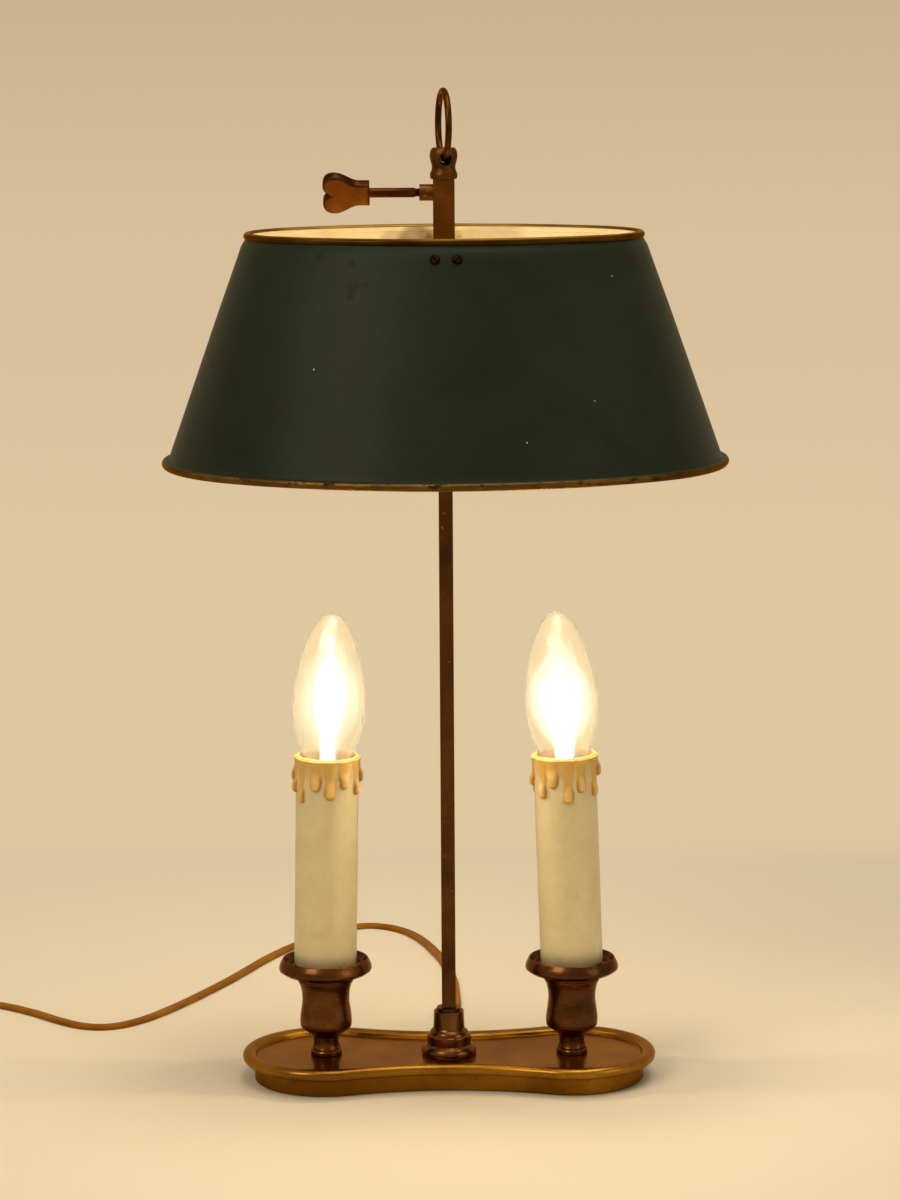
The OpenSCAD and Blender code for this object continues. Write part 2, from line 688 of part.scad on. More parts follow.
module candle_cup(side) {
    z = floor_z;
    waist = 0.76 * sleeve_r;
    belly = 0.84 * sleeve_r;
    brim = sleeve_r + 7.35;
    color(bronze) translate([side * candle_x, 0, 0]) rotate_extrude() polygon(concat(
        [[nipple_r + seat, z], [6.9, z], [7.3, z + 0.5], [7.3, z + 1.9], [6.9, z + 2.5],
            [6.6, z + 2.7], [6.5, z + 3.4]],
        bezier([6.3, z + 3.8], [5.8, z + 5], [5.8, z + 6.4], [5.8, z + 8.2], 4),
        bezier([5.9, z + 8.6], [7.5, z + 11], [belly - 2, z + 11.8], [belly - 0.4, z + 13.6], 6),
        bezier([belly - 0.3, z + 13.9], [belly + 0.3, z + 17], [waist + 0.6, z + 21],
            [waist + 0.05, z + 25], 7),
        bezier([waist, z + 25.5], [waist - 0.2, z + 30], [waist + 0.4, z + 33],
            [waist + 1.8, z + cup_h - 7.8], 6),
        [[waist + 2, z + cup_h - 7.4], [waist + 2.1, z + cup_h - 6.9],
            [waist + 1.8, z + cup_h - 6.6], [waist + 1.9, z + cup_h - 6.1]],
        bezier([waist + 2.4, z + cup_h - 5.4], [brim - 6, z + cup_h - 4.8],
            [brim - 3, z + cup_h - 4.4], [brim - 1, z + cup_h - 3], 5),
        bezier([brim - 0.4, z + cup_h - 2.3], [brim + 0.2, z + cup_h - 1.4],
            [brim - 0.6, z + cup_h + 0.8], [brim - 1.6, z + cup_h + 2.4], 6),
        bezier([brim - 1.8, z + cup_h + 2.8], [brim - 2.1, z + cup_h + 3.3],
            [brim - 2.5, z + cup_h + 3], [brim - 2.8, z + cup_h + 2.2], 4),
        bezier([brim - 3.1, z + cup_h + 1.6], [brim - 3.6, z + cup_h + 0.4],
            [brim - 4.2, z + cup_h], [brim - 5.2, z + cup_h], 4),
        [[brim - 5.2, z + cup_h], [nipple_r + seat, z + cup_h]]));
}

module nipples() {
    color("#b08a3c") for (side = [-1, 1]) translate([side * candle_x, 0, nipple_low])
        pipe(nipple_top - nipple_low, nipple_r, nipple_bore);
}

module nipple_nuts() {
    color(steel) for (side = [-1, 1]) for (z = [floor_low - nut_t, pan_z + bracket_t])
        translate([side * candle_x, 0, z]) hex_nut(nipple_nut_flat, nut_t, nipple_r + run);
}

module in_candle(side) {
    translate([side * candle_x, 0, pan_z + lift_of(side)]) rotate([0, lean_of(side), 0]) children();
}

module in_lamp(side) {
    translate(sleeve_top(side)) rotate([0, tip_of(side), 0]) children();
}

// A foot under the nut on the nipple, a leg up one side, and a tab under the holder
module bracket(side) {
    leg_y = holder_r - 2.2;
    leg_low = pan_z + 0.4 - lamp_point(side, 0)[2];
    color(steel) difference() {
        union() {
            translate([side * candle_x, 0, pan_z]) cylinder(h = bracket_t, r = holder_r - 0.6);
            in_lamp(side) {
                translate([-3, leg_y, leg_low]) cube([6, bracket_t, holder_low - leg_low]);
                translate([0, 0, holder_low - bracket_t]) cylinder(h = bracket_t, r = holder_r - 0.6);
            }
        }
        translate([side * candle_x, 0, pan_z - 1]) cylinder(h = bracket_t + 2, r = nipple_r + seat);
        in_lamp(side) translate([0, 0, holder_low - bracket_t - 1])
            cylinder(h = bracket_t + 2, r = core_r + gap);
    }
}

module holder(side) {
    color(phenolic) in_lamp(side) difference() {
        translate([0, 0, holder_low]) cylinder(h = holder_top - holder_low, r = holder_r);
        translate([0, 0, holder_low + holder_floor])
            cylinder(h = holder_top - holder_low, r = shell_r + seat);
        translate([0, 0, holder_low - 1]) cylinder(h = holder_floor + 2, r = core_r + gap);
    }
}

module shell(side) {
    color("#b08a3c") in_lamp(side) translate([0, 0, cap_low - 2])
        pipe(holder_top - 0.6 - cap_low + 2, shell_r, cap_r + run);
}

module contact(side) {
    color("#b08a3c") in_lamp(side) {
        translate([0, 0, holder_low + holder_floor]) pipe(0.8, 4, core_r + gap);
        translate([2.4, -1, holder_low + holder_floor])
            cube([0.6, 2, cap_tip - holder_low - holder_floor - 0.9]);
        translate([-1.4, -1, cap_tip - 0.9]) cube([4.4, 2, 0.6]);
    }
}

module candle_sleeve(side) {
    runs = side > 0 ? right_runs : left_runs;
    color(ivory) in_candle(side) {
        difference() {
            union() {
                cylinder(h = sleeve_len, r = sleeve_r);
                for (w = runs) rotate([0, 0, w[0]]) translate([0, -sleeve_r + 0.3, 0]) {
                    translate([0, 0, sleeve_len - w[1]])
                        cylinder(h = w[1] - 0.6, r = 0.42 * w[2], $fn = 16);
                    translate([0, 0, sleeve_len - w[1]]) sphere(r = 0.5 * w[2], $fn = 16);
                }
            }
            translate([0, 0, -1]) cylinder(h = sleeve_len + 2, r = sleeve_in);
        }
    }
}

// ---- Bulbs ----

// The flame-shaped outline from the tip down to the neck, moved in by a wall
function bulb_outline(wall) = let (
    r = bulb_r - wall,
    crown = bulb_crown - wall,
    neck_r = cap_r - 0.45 - wall)
    concat(
        [for (i = [0 : 12]) let (t = 1 - pow(1 - i / 12, 2)) [
            r * pow(1 - pow(1 - t, 1.5), 0.46), bulb_wide + crown * (1 - t)]],
        [for (i = [1 : 8]) let (v = i / 8)
            [neck_r + (r - neck_r) * (1 - v * v), bulb_wide - bulb_belly * v]],
        [[neck_r, bulb_wide - bulb_belly - bulb_neck]]);

module bulb_glass(side) {
    outer = bulb_outline(0);
    inner = bulb_outline(0.8);
    color("white", 0.4) in_lamp(side) rotate_extrude()
        polygon(concat(outer, [for (i = [len(inner) - 1 : -1 : 0]) inner[i]]));
}

module bulb_cap(side) {
    color("#c8b070") in_lamp(side) {
        rotate_extrude() polygon([[cap_r - 0.4, cap_top], [cap_r, cap_top], [cap_r, cap_low],
            [cap_r - 0.6, cap_low - 1], [3.2, cap_tip + 1.5], [2.4, cap_tip + 1.2],
            [2, cap_tip], [0, cap_tip], [0, cap_low + 1], [cap_r - 0.4, cap_low + 1]]);
    }
}

// A glass stem in the neck, two lead wires and the filament between them
module bulb_filament(side) {
    neck = bulb_wide - bulb_belly - 1;
    stem_h = 22;
    lead_h = 14;
    color("#d8d0c0") in_lamp(side) translate([0, 0, neck]) {
        cylinder(h = stem_h, r1 = cap_r - 1.5, r2 = 2.2, $fn = small_fn);
        for (x = [-1, 1]) translate([1.6 * x, 0, stem_h - 0.5]) rotate([0, 18 * x, 0])
            cylinder(h = lead_h, r = 0.35, $fn = 16);
        translate([-6.2, 0, stem_h + lead_h - 1.4]) rotate([0, 90, 0])
            cylinder(h = 12.4, r = 0.45, $fn = 16);
    }
}

// ---- Wiring in the base ----

module cord_gland() {
    color(dark_brown) difference() {
        translate([0, skirt_back, gland_z]) rotate([-90, 0, 0]) {
            translate([0, 0, seat]) cylinder(
                h = gland_end - skirt_back - seat, r1 = gland_r, r2 = gland_tip_r, $fn = small_fn);
            translate([0, 0, -skirt_t - gland_flange_t])
                cylinder(h = skirt_t + gland_flange_t + 1, r = gland_tip_r, $fn = small_fn);
            translate([0, 0, -skirt_t - gland_flange_t])
                cylinder(h = gland_flange_t - seat, r = gland_flange_r, $fn = small_fn);
        }
        translate([-cord_w / 2 - seat / 2, skirt_back - skirt_t - 3, gland_z - cord_t / 2 - seat / 2])
            cube([cord_w + seat, gland_end, cord_t + seat]);
    }
}

module at_grip() {
    for (x = [-6, 6]) translate([x, grip_y, 0]) children();
}

module cord_grip() {
    color(dark_brown) difference() {
        translate([-9, grip_y - 2.2, grip_low]) cube([18, 4.4, floor_low - grip_low]);
        translate([-cord_w / 2 - seat, grip_y - 3, gland_z - cord_t / 2 - seat])
            cube([cord_w + 2 * seat, 6, tail_z - gland_z + cord_t + 2 * seat]);
        at_grip() translate([0, 0, grip_low - 1])
            cylinder(h = floor_low, r = grip_screw_r + run, $fn = small_fn);
    }
}

module grip_screws() {
    color(steel) at_grip() {
        translate([0, 0, grip_low - 0.9]) cylinder(h = 0.9, r = 2.1, $fn = small_fn);
        translate([0, 0, grip_low]) cylinder(h = floor_low - grip_low, r = grip_screw_r, $fn = small_fn);
    }
}

module terminal_block() {
    color(ivory) translate(block_at) difference() {
        translate([-block_size[0] / 2, -block_size[1] / 2, -block_size[2] / 2]) cube(block_size);
        for (y = [-4, 4]) translate([0, y, 0]) cylinder(h = block_size[2], r = 1.6, $fn = small_fn);
    }
}

module cord_tail() {
    y_in = skirt_back - skirt_t;
    left = block_at[0] - block_size[0] / 2;
    color(amber) tube([[0, gland_end, gland_z], [0, gland_end - 10, gland_z], [0, y_in, gland_z],
        [0, grip_y, gland_z + 0.2], [0, 15, tail_z], [1.5, 11.5, 5.4], [5, 9.2, 5.9],
        [10, 8, 5.9], [left, 8, 5.9]], free_section);
}

// The pair of cores to one holder: along the base, up through the nipple, into the holder
function core_rise(side) = [[side * (candle_x - 8), 0, 3.9], [side * (candle_x - 3), 0, 3.8],
    [side * (candle_x - 0.9), 0, 4.6], [side * candle_x, 0, 7], [side * candle_x, 0, 20],
    [side * candle_x, 0, pan_z], [side * candle_x, 0, nipple_top],
    lamp_point(side, holder_low - 6), lamp_point(side, holder_low + holder_floor + 0.4)];

module wires() {
    left = block_at[0] - block_size[0] / 2;
    right = block_at[0] + block_size[0] / 2;
    color(ivory) {
        tube(concat([[left, 0, 5.9], [left - 2, 0, 5.9], [13, -3.5, 5.9], [9, -9, 5.9],
            [0, -11.5, 5.9], [-12, -11, 5.5], [-26, -9, 5], [-40, -6, 4.4]],
            core_rise(-1)), core_section);
        tube(concat([[right, 6, 5.9], [right + 2, 6, 5.9], [40, 5.4, 4.8]],
            core_rise(1)), core_section);
    }
}

// ---- Cord, coil, switch and plug ----

module cord_free() {
    color(amber) tube(free_route, free_section);
}

module cord_link() {
    color(amber) tube(link_route, free_section);
}

module cord_lead() {
    color(amber) tube(lead_route, free_section);
}

// The coil runs in for half its turns on the table side and out again on top. It climbs in
// the half turn about the middle, where it turns from in to out.
function coil_point(turn) = let (
    from_middle = turn - coil_turns / 2,
    r = coil_in_r + coil_pitch * abs(from_middle),
    climb = min(max(2 * from_middle + 0.5, 0), 1),
    angle = 180 + 360 * turn)
    [coil_x + r * cos(angle), coil_y + r * sin(angle),
        coil_z + coil_layer * climb * climb * (3 - 2 * climb)];

coil_line = [for (i = [0 : coil_turns * rings_per_turn]) coil_point(i / rings_per_turn)];
coil_start = coil_line[0] + [0, cord_w, 0];
coil_end = coil_line[len(coil_line) - 1] - [0, cord_w, 0];

// Least gap of the coil to itself: how far two turns are apart, less what the flat section
// fills in that direction
function section_reach(d) = let (w = norm([d[0], d[1]]), h = abs(d[2]))
    w == 0 ? cord_t / 2 : h == 0 ? cord_w / 2
    : let (s = h / w) s * cord_w / 4 >= cord_t / 2 ? cord_t / 2 * sqrt(1 + 1 / (s * s))
    : let (k = cord_t / 2 / (cord_w / 4), x = k * cord_w / 2 / (s + k)) x * sqrt(1 + s * s);
coil_gaps = [for (i = [0 : len(coil_line) - 1])
    for (j = [i + rings_per_turn / 2 : 1 : len(coil_line) - 1])
        let (d = coil_line[j] - coil_line[i]) if (norm(d) < 3 * cord_w)
            norm(d) - 2 * section_reach(d)];
echo(least_gap_of_the_coil_to_itself = min(coil_gaps));

module cord_coil() {
    color(amber) tube(concat([coil_start], coil_line, [coil_end]), coil_section);
}

module cord_tie() {
    inner = coil_in_r + coil_pitch / 2 - cord_w / 2 - 2 * gap;
    outer = coil_out_r - coil_pitch / 2 + cord_w / 2 + 2 * gap;
    height = coil_layer + cord_t + 2 * gap;
    color("#2c2a28") translate([coil_x + inner, coil_y - tie_w / 2, tie_t]) difference() {
        translate([-tie_t, 0, -tie_t]) cube([outer - inner + 2 * tie_t, tie_w, height + 2 * tie_t]);
        translate([0, -1, 0]) cube([outer - inner, tie_w + 2, height]);
    }
}

// Outline of the switch: straight sides that draw in to a nose at each end
function switch_outline(inset) = let (
    half_l = switch_len / 2 - inset,
    half_w = switch_w / 2 - inset,
    nose = 6 - inset,
    side = concat(
        bezier([-half_l, -nose], [-half_l + 6, -nose - 1], [-half_l + 7, -half_w],
            [-half_l + 15, -half_w], 8),
        bezier([half_l - 15, -half_w], [half_l - 7, -half_w], [half_l - 6, -nose - 1],
            [half_l, -nose], 8),
        [[half_l, -nose]]))
    concat(side, [for (i = [len(side) - 1 : -1 : 0]) [side[i][0], -side[i][1]]]);

rocker_l = 18;
rocker_w = 11;
pivot_r = 1.5;
pivot_z = switch_h - 2.5;
rocker_tilt = 8;
switch_wall = 2;
switch_screw_r = 1.2;
parting_z = switch_z;

module in_switch() {
    translate([switch_x, switch_y, 0]) children();
}

module at_switch_screws() {
    for (side = [-1, 1])
        translate([side * (rocker_l / 2 + 5), side * (switch_w / 2 - 5), 0]) children();
}

// The well that the rocker swings in, open upwards from a height
module rocker_well(z) {
    translate([-rocker_l / 2 - gap, -rocker_w / 2 - gap, z])
        cube([rocker_l + 2 * gap, rocker_w + 2 * gap, switch_h]);
}

module switch_base() {
    color(dark_brown) in_switch() difference() {
        linear_extrude(parting_z) polygon(switch_outline(0));
        rocker_well(switch_wall);
        at_switch_screws() translate([0, 0, -1])
            cylinder(h = parting_z + 2, r = switch_screw_r + run, $fn = small_fn);
    }
}

module switch_cover() {
    color(dark_brown) in_switch() difference() {
        union() {
            translate([0, 0, parting_z]) linear_extrude(switch_h - parting_z - 1.5)
                polygon(switch_outline(0));
            translate([0, 0, switch_h - 1.5]) linear_extrude(1.5) polygon(switch_outline(1.2));
        }
        rocker_well(parting_z - 1);
        translate([0, rocker_w / 2 + 3, pivot_z]) rotate([90, 0, 0])
            cylinder(h = rocker_w + 6, r = pivot_r + run, $fn = small_fn);
        at_switch_screws() translate([0, 0, parting_z - 1])
            cylinder(h = 5, r = switch_screw_r + run, $fn = small_fn);
    }
}

module switch_rocker() {
    drop = 3.4;
    color("#1e1712") in_switch() translate([0, 0, pivot_z]) rotate([0, rocker_tilt, 0]) {
        rotate([90, 0, 0]) translate([0, 0, -rocker_w / 2]) linear_extrude(rocker_w) polygon([
            [-rocker_l / 2 + 0.5, -0.6], [-rocker_l / 2 + 0.5, drop], [0, drop - 1.2],
            [rocker_l / 2 - 0.5, drop], [rocker_l / 2 - 0.5, -0.6], [2, -drop], [-2, -drop]]);
        translate([0, rocker_w / 2 + 2.5, 0]) rotate([90, 0, 0])
            cylinder(h = rocker_w + 5, r = pivot_r, $fn = small_fn);
    }
}

module switch_screws() {
    color(steel) in_switch() at_switch_screws() translate([0, 0, 0.6])
        cylinder(h = parting_z + 2.4, r = switch_screw_r, $fn = small_fn);
}

plug_relief_len = 20;
plug_len = 36;
plug_w = 26;
plug_h = 13;
pin_gap = 18.6;
pin_r = 2;
pin_len = 19;
pin_root = 8;

// The plug lies flat: its outline swells from the cord to the pin face
module plug_body() {
    half = concat(
        bezier([4.2, 0], [6, -8], [plug_w / 2, -10], [plug_w / 2, -20], 8),
        bezier([plug_w / 2, -20], [plug_w / 2, -26], [plug_w / 2 - 0.4, -32],
            [plug_w / 2 - 1.4, -plug_len], 5),
        [[plug_w / 2 - 1.4, -plug_len]]);
    color(dark_brown) translate([plug_x, plug_y - plug_relief_len, 0]) difference() {
        union() {
            linear_extrude(plug_h) polygon(concat(half,
                [for (i = [len(half) - 1 : -1 : 0]) [-half[i][0], half[i][1]]]));
            translate([0, -1, plug_z]) rotate([-90, 0, 0])
                cylinder(h = plug_relief_len + 1, r1 = 4.6, r2 = 3.2, $fn = small_fn);
        }
        for (x = [-1, 1]) translate([x * pin_gap / 2, -plug_len + pin_root, plug_z])
            rotate([90, 0, 0]) cylinder(h = pin_root + 1, r = pin_r, $fn = small_fn);
    }
}

module plug_pins() {
    color(steel) for (x = [-1, 1])
        translate([plug_x + x * pin_gap / 2, plug_y - plug_relief_len - plug_len + pin_root, plug_z])
            rotate([90, 0, 0]) {
                cylinder(h = pin_root + pin_len - pin_r, r = pin_r, $fn = small_fn);
                translate([0, 0, pin_root + pin_len - pin_r])
                    cylinder(h = pin_r, r1 = pin_r, r2 = 0.5 * pin_r, $fn = small_fn);
            }
}

base_tray();
base_skirt();
bottom_plate();
bottom_screws();
plate_posts();
felt_pad();
stem_rod();
stem_collar();
stem_bush();
stem_washer();
stem_nut();
finial();
carrying_ring();
slider_tube();
clamp_boss();
clamp_key();
shade_strap();
shade_body();
shade_top_bead();
shade_bottom_bead();
shade_screws();
shade_nuts();
candle_cup(-1);  // candle_cup_left
candle_cup(1);  // candle_cup_right
nipples();
nipple_nuts();
bracket(-1);  // bracket_left
bracket(1);  // bracket_right
holder(-1);  // holder_left
holder(1);  // holder_right
shell(-1);  // shell_left
shell(1);  // shell_right
contact(-1);  // contact_left
contact(1);  // contact_right
candle_sleeve(-1);  // candle_sleeve_left
candle_sleeve(1);  // candle_sleeve_right
bulb_glass(-1);  // bulb_glass_left
bulb_glass(1);  // bulb_glass_right
bulb_cap(-1);  // bulb_cap_left
bulb_cap(1);  // bulb_cap_right
bulb_filament(-1);  // bulb_filament_left
bulb_filament(1);  // bulb_filament_right
cord_gland();
cord_grip();
grip_screws();
terminal_block();
cord_tail();
wires();
cord_free();
cord_link();
cord_coil();
cord_lead();
cord_tie();
switch_base();
switch_cover();
switch_rocker();
switch_screws();
plug_body();
plug_pins();
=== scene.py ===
import json
from math import atan2, cos, degrees, pi, radians, sin, sqrt, tan

import bmesh
import bpy
from mathutils import Matrix, Vector, noise


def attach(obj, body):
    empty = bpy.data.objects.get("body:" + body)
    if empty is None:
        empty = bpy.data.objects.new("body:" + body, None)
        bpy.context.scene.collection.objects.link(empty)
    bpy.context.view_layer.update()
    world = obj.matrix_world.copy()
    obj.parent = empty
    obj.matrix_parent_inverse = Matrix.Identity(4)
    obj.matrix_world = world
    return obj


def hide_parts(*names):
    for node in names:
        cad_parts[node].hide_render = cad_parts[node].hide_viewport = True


# Bouillotte lamp. Lengths are written in millimetres and turned to metres by MM, in the packed
# model's frame: +X is the lamp's right, +Y its back, +Z up, and the table is at 0.

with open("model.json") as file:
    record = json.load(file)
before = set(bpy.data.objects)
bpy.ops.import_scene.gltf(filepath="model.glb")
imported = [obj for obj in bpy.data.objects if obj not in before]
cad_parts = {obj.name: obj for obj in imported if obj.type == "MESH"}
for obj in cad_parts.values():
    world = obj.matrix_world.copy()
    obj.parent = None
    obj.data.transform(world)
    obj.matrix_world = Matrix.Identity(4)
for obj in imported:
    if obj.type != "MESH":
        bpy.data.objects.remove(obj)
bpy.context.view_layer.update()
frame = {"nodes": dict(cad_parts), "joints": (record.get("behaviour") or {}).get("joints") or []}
MM = 0.001
scene = bpy.context.scene
scene.view_settings.view_transform = "Standard"

# ---- Camera ----

PHOTO_H = 1200  # height of the photograph in pixels
FOCAL = 3700  # focal length in those pixels
SENSOR = 36  # mm along the photograph's long side
EYE = Vector((1.7, -1687, 500.7)) * MM
LOOK_DOWN = 9.2  # degrees
ROLL = 0.35  # degrees


def add_object(name, data):
    """Puts a mesh, a lamp or a camera into the scene as a new object."""
    made = bpy.data.objects.new(name, data)
    scene.collection.objects.link(made)
    return made


def make_camera():
    data = bpy.data.cameras.new("camera")
    data.sensor_width = SENSOR
    data.lens = FOCAL * SENSOR / PHOTO_H
    data.clip_start = 0.05
    data.clip_end = 200
    camera = add_object("camera", data)
    tilt = Matrix.Rotation(radians(90 - LOOK_DOWN), 4, "X")
    camera.matrix_world = Matrix.Translation(EYE) @ tilt @ Matrix.Rotation(radians(-ROLL), 4, "Z")
    scene.camera = camera


make_camera()

# ---- Sizes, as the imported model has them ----

CANDLE_X = 57.8
LOBE_R = 39.3
WAIST_Y = 30
FLOOR_Z = 11.4
FLOOR_LOW = FLOOR_Z - 1.5
RIM_RISE = 2.6
RIM_R = 2.7
RIM_W = 6.6
SKIRT_INSET = 5.6
SKIRT_T = 2
SKIRT_LIFT = 0.4
FELT_T = 1.4

SHADE_A = 89.9
SHADE_B = 57.1
END_R = 41.9
SHADE_TOP = 395.7
SHADE_H = 103.3
SHADE_SPREAD = 38.6
SHADE_SLOPE = 19.6
SHOULDER_H = 4.6
SHOULDER_OUT = 2.5
FLARE_H = 5.5
SHEET_T = 0.8
TOP_BEAD_R = 1.8
LOW_BEAD_R = 2

SLEEVE_R = 14.6
SLEEVE_T = 1.75
SLEEVE_LEN = 100
PAN_Z = 54.7
LEAN = {"left": 1.2, "right": -1.9}  # degrees, towards +X

BULB_R = 17.4
BULB_RISE = 67
BULB_CROWN = 43.5
BULB_WIDE_Z = BULB_RISE - BULB_CROWN
BULB_BELLY = 33
BULB_NECK = 5
CAP_R = 6.95

KEY_Z = 414.9
KEY_TILT = 38
HEART_X = -33.7
HEART_LEN = 21.2
HEART_H = 21.4
HEART_T = 5
HEART_NOTCH = 0.84  # the notch's place, as a share of the length
HEART_EDGE = 1.1
SHANK_R = 2.2
SHANK_LEN = 21
THREAD_STEP = 0.35  # half of a turn of the key's thread
KEY_END = 30.3

CORD_W = 5
CORD_T = 2.6
LIE = CORD_T / 2
SWITCH_Z = 7

SIDES = {"left": -1, "right": 1}


# ---- Curves ----


def arc_points(centre, radius, start, end, steps):
    """Points of an arc in degrees, its last one included."""
    angles = [radians(start + (end - start) * i / steps) for i in range(steps + 1)]
    return [(centre[0] + radius * cos(a), centre[1] + radius * sin(a)) for a in angles]


def circle(radius, count):
    return arc_points((0, 0), radius, 0, 360, count)[:-1]


def bezier(a, b, c, d, steps):
    """Points of a cubic curve, without its last one."""
    points = []
    for i in range(steps):
        t = i / steps
        u = 1 - t
        weights = (u**3, 3 * u * u * t, 3 * u * t * t, t**3)
        points.append(tuple(sum(w * p[k] for w, p in zip(weights, (a, b, c, d))) for k in (0, 1)))
    return points


def smoothstep(low, high, value):
    t = min(max((value - low) / (high - low), 0), 1)
    return t * t * (3 - 2 * t)


def stations(centre, radius, start, end, steps, out=1):
    """Points along an arc, each with its outward normal. out is -1 where that faces the centre."""
    made = []
    for i in range(steps):
        a = radians(start + (end - start) * i / steps)
        n = Vector((cos(a), sin(a)))
        made.append((Vector(centre) + radius * n, out * n))
    return made


def tray_stations():
    """The tray's outline: two round ends and two hollow sides."""
    waist_r = (CANDLE_X**2 + WAIST_Y**2 - LOBE_R**2) / (2 * (LOBE_R - WAIST_Y))
    waist_c = WAIST_Y + waist_r
    turn = degrees(atan2(waist_c, CANDLE_X))
    return (
        stations((CANDLE_X, 0), LOBE_R, turn - 180, 180 - turn, 110)
        + stations((0, waist_c), waist_r, -turn, turn - 180, 30, -1)
        + stations((-CANDLE_X, 0), LOBE_R, turn, 360 - turn, 110)
        + stations((0, -waist_c), waist_r, 180 - turn, turn, 30, -1)
    )


def shade_stations():
    """The shade's oval at its upper edge: two end curves and two side curves."""
    end_c = SHADE_A - END_R
    flat = SHADE_B - END_R
    side_c = (end_c**2 - flat**2) / (2 * flat)
    turn = degrees(atan2(side_c, end_c))
    side_r = SHADE_B + side_c
    return (
        stations((end_c, 0), END_R, -turn, turn, 72)
        + stations((0, -side_c), side_r, turn, 180 - turn, 60)
        + stations((-end_c, 0), END_R, 180 - turn, 180 + turn, 72)
        + stations((0, side_c), side_r, 180 + turn, 360 - turn, 60)
    )


# ---- Mesh building ----


def skin(rings, closed=False, caps=False):
    """Vertices and faces over rings of points. closed joins the last ring to the first."""
    count = len(rings[0])
    verts = [p for ring in rings for p in ring]
    faces = []
    for i in range(len(rings) - (0 if closed else 1)):
        a = i * count
        b = (i + 1) % len(rings) * count
        for j in range(count):
            k = (j + 1) % count
            faces.append((a + j, a + k, b + k, b + j))
    if caps:
        faces.append(tuple(reversed(range(count))))
        faces.append(tuple(range(len(verts) - count, len(verts))))
    return verts, faces


def lathe(profile, steps, place, closed=False):
    """A turned shape from (radius, height) pairs, moved to a place."""
    turns = [2 * pi * k / steps for k in range(steps)]
    rings = [[place @ Vector((r * cos(t), r * sin(t), z)) for t in turns] for r, z in profile]
    return skin(rings, closed)


def rings_round(stops, profile):
    """A ring of points round the stations for each (distance outside, height) pair."""
    return [[Vector((*(p + out * n), z)) for p, n in stops] for out, z in profile]


def make_piece(name, shape, materials, body, stands_for=(), sharp=40, merge=True):
    """Makes a piece of the object that rides on a body and takes its finish from a slot.
    merge joins points that coincide, and so does not suit a piece with values for its points."""
    mesh = bpy.data.meshes.new(name)
    mesh.from_pydata([Vector(p) * MM for p in shape[0]], [], shape[1])
    build = bmesh.new()
    build.from_mesh(mesh)
    if merge:
        bmesh.ops.remove_doubles(build, verts=build.verts, dist=1e-7)
        bmesh.ops.dissolve_degenerate(build, edges=build.edges, dist=1e-7)
    bmesh.ops.recalc_face_normals(build, faces=build.faces)
    build.to_mesh(mesh)
    build.free()
    mesh.shade_smooth()
    mesh.set_sharp_from_angle(angle=radians(sharp))
    for material in materials:
        mesh.materials.append(material)
    piece = add_object(name, mesh)
    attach(piece, body)
    if stands_for:
        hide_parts(*stands_for)
    return piece


def join_shapes(*shapes):
    """One list of vertices and one of faces from several."""
    verts, faces = [], []
    for shape in shapes:
        first = len(verts)
        verts += shape[0]
        faces += [tuple(first + i for i in face) for face in shape[1]]
    return verts, faces


def point_values(piece, name, values):
    """Gives each vertex a number that a material reads."""
    made = piece.data.attributes.new(name, "FLOAT", "POINT")
    made.data.foreach_set("value", values)


def line_inside(piece, place=Matrix()):
    """Gives the second material to the faces that look towards the piece's upright axis."""
    back = place.inverted()
    for face in piece.data.polygons:
        n = back.to_3x3() @ face.normal
        c = back @ (face.center / MM)
        face.material_index = 1 if n.x * c.x + n.y * c.y < 0 else 0


# ---- Materials ----


def srgb(red, green, blue):
    """A colour from 0-255 screen values, as Blender's linear one."""
    parts = [c / 255 for c in (red, green, blue)]
    return (*[c / 12.92 if c <= 0.04045 else ((c + 0.055) / 1.055) ** 2.4 for c in parts], 1)


def as_colour(value):
    """A linear colour from 0-255 values or from a number. One of four parts stays as it is."""
    if isinstance(value, tuple):
        return srgb(*value) if len(value) == 3 else value
    return (value, value, value, 1)


def shaded(colour, share, lift=0.0):
    """A share of a 0-255 colour's light, with a lift added."""
    return (*(min(share * c + lift, 1) for c in srgb(*colour)[:3]), 1)


class Nodes:
    """A node tree in the making. Values are sockets to link, numbers, places or 0-255 colours."""

    def __init__(self, owner, end):
        owner.use_nodes = True
        self.tree = owner.node_tree
        self.surface = self.tree.nodes[end].inputs["Surface"]

    def feed(self, socket, value):
        if isinstance(value, bpy.types.NodeSocket):
            self.tree.links.new(value, socket)
        else:
            socket.default_value = as_colour(value) if socket.type == "RGBA" else value

    def node(self, kind, output, inputs=None, **props):
        """Adds a node, sets its properties and inputs, and gives one of its outputs."""
        made = self.tree.nodes.new("ShaderNode" + kind)
        for key, value in props.items():
            setattr(made, key, value)
        for key, value in (inputs or {}).items():
            self.feed(made.inputs[key], value)
        return made.outputs[output]

    def math(self, operation, first, second=0.0):
        return self.node("Math", 0, {0: first, 1: second}, operation=operation)

    def times(self, first, second):
        return self.math("MULTIPLY", first, second)

    def cover(self, share, under, over):
        """Gives a share of the surface to the second of two shaders."""
        self.feed(self.surface, self.node("MixShader", 0, {0: share, 1: under, 2: over}))


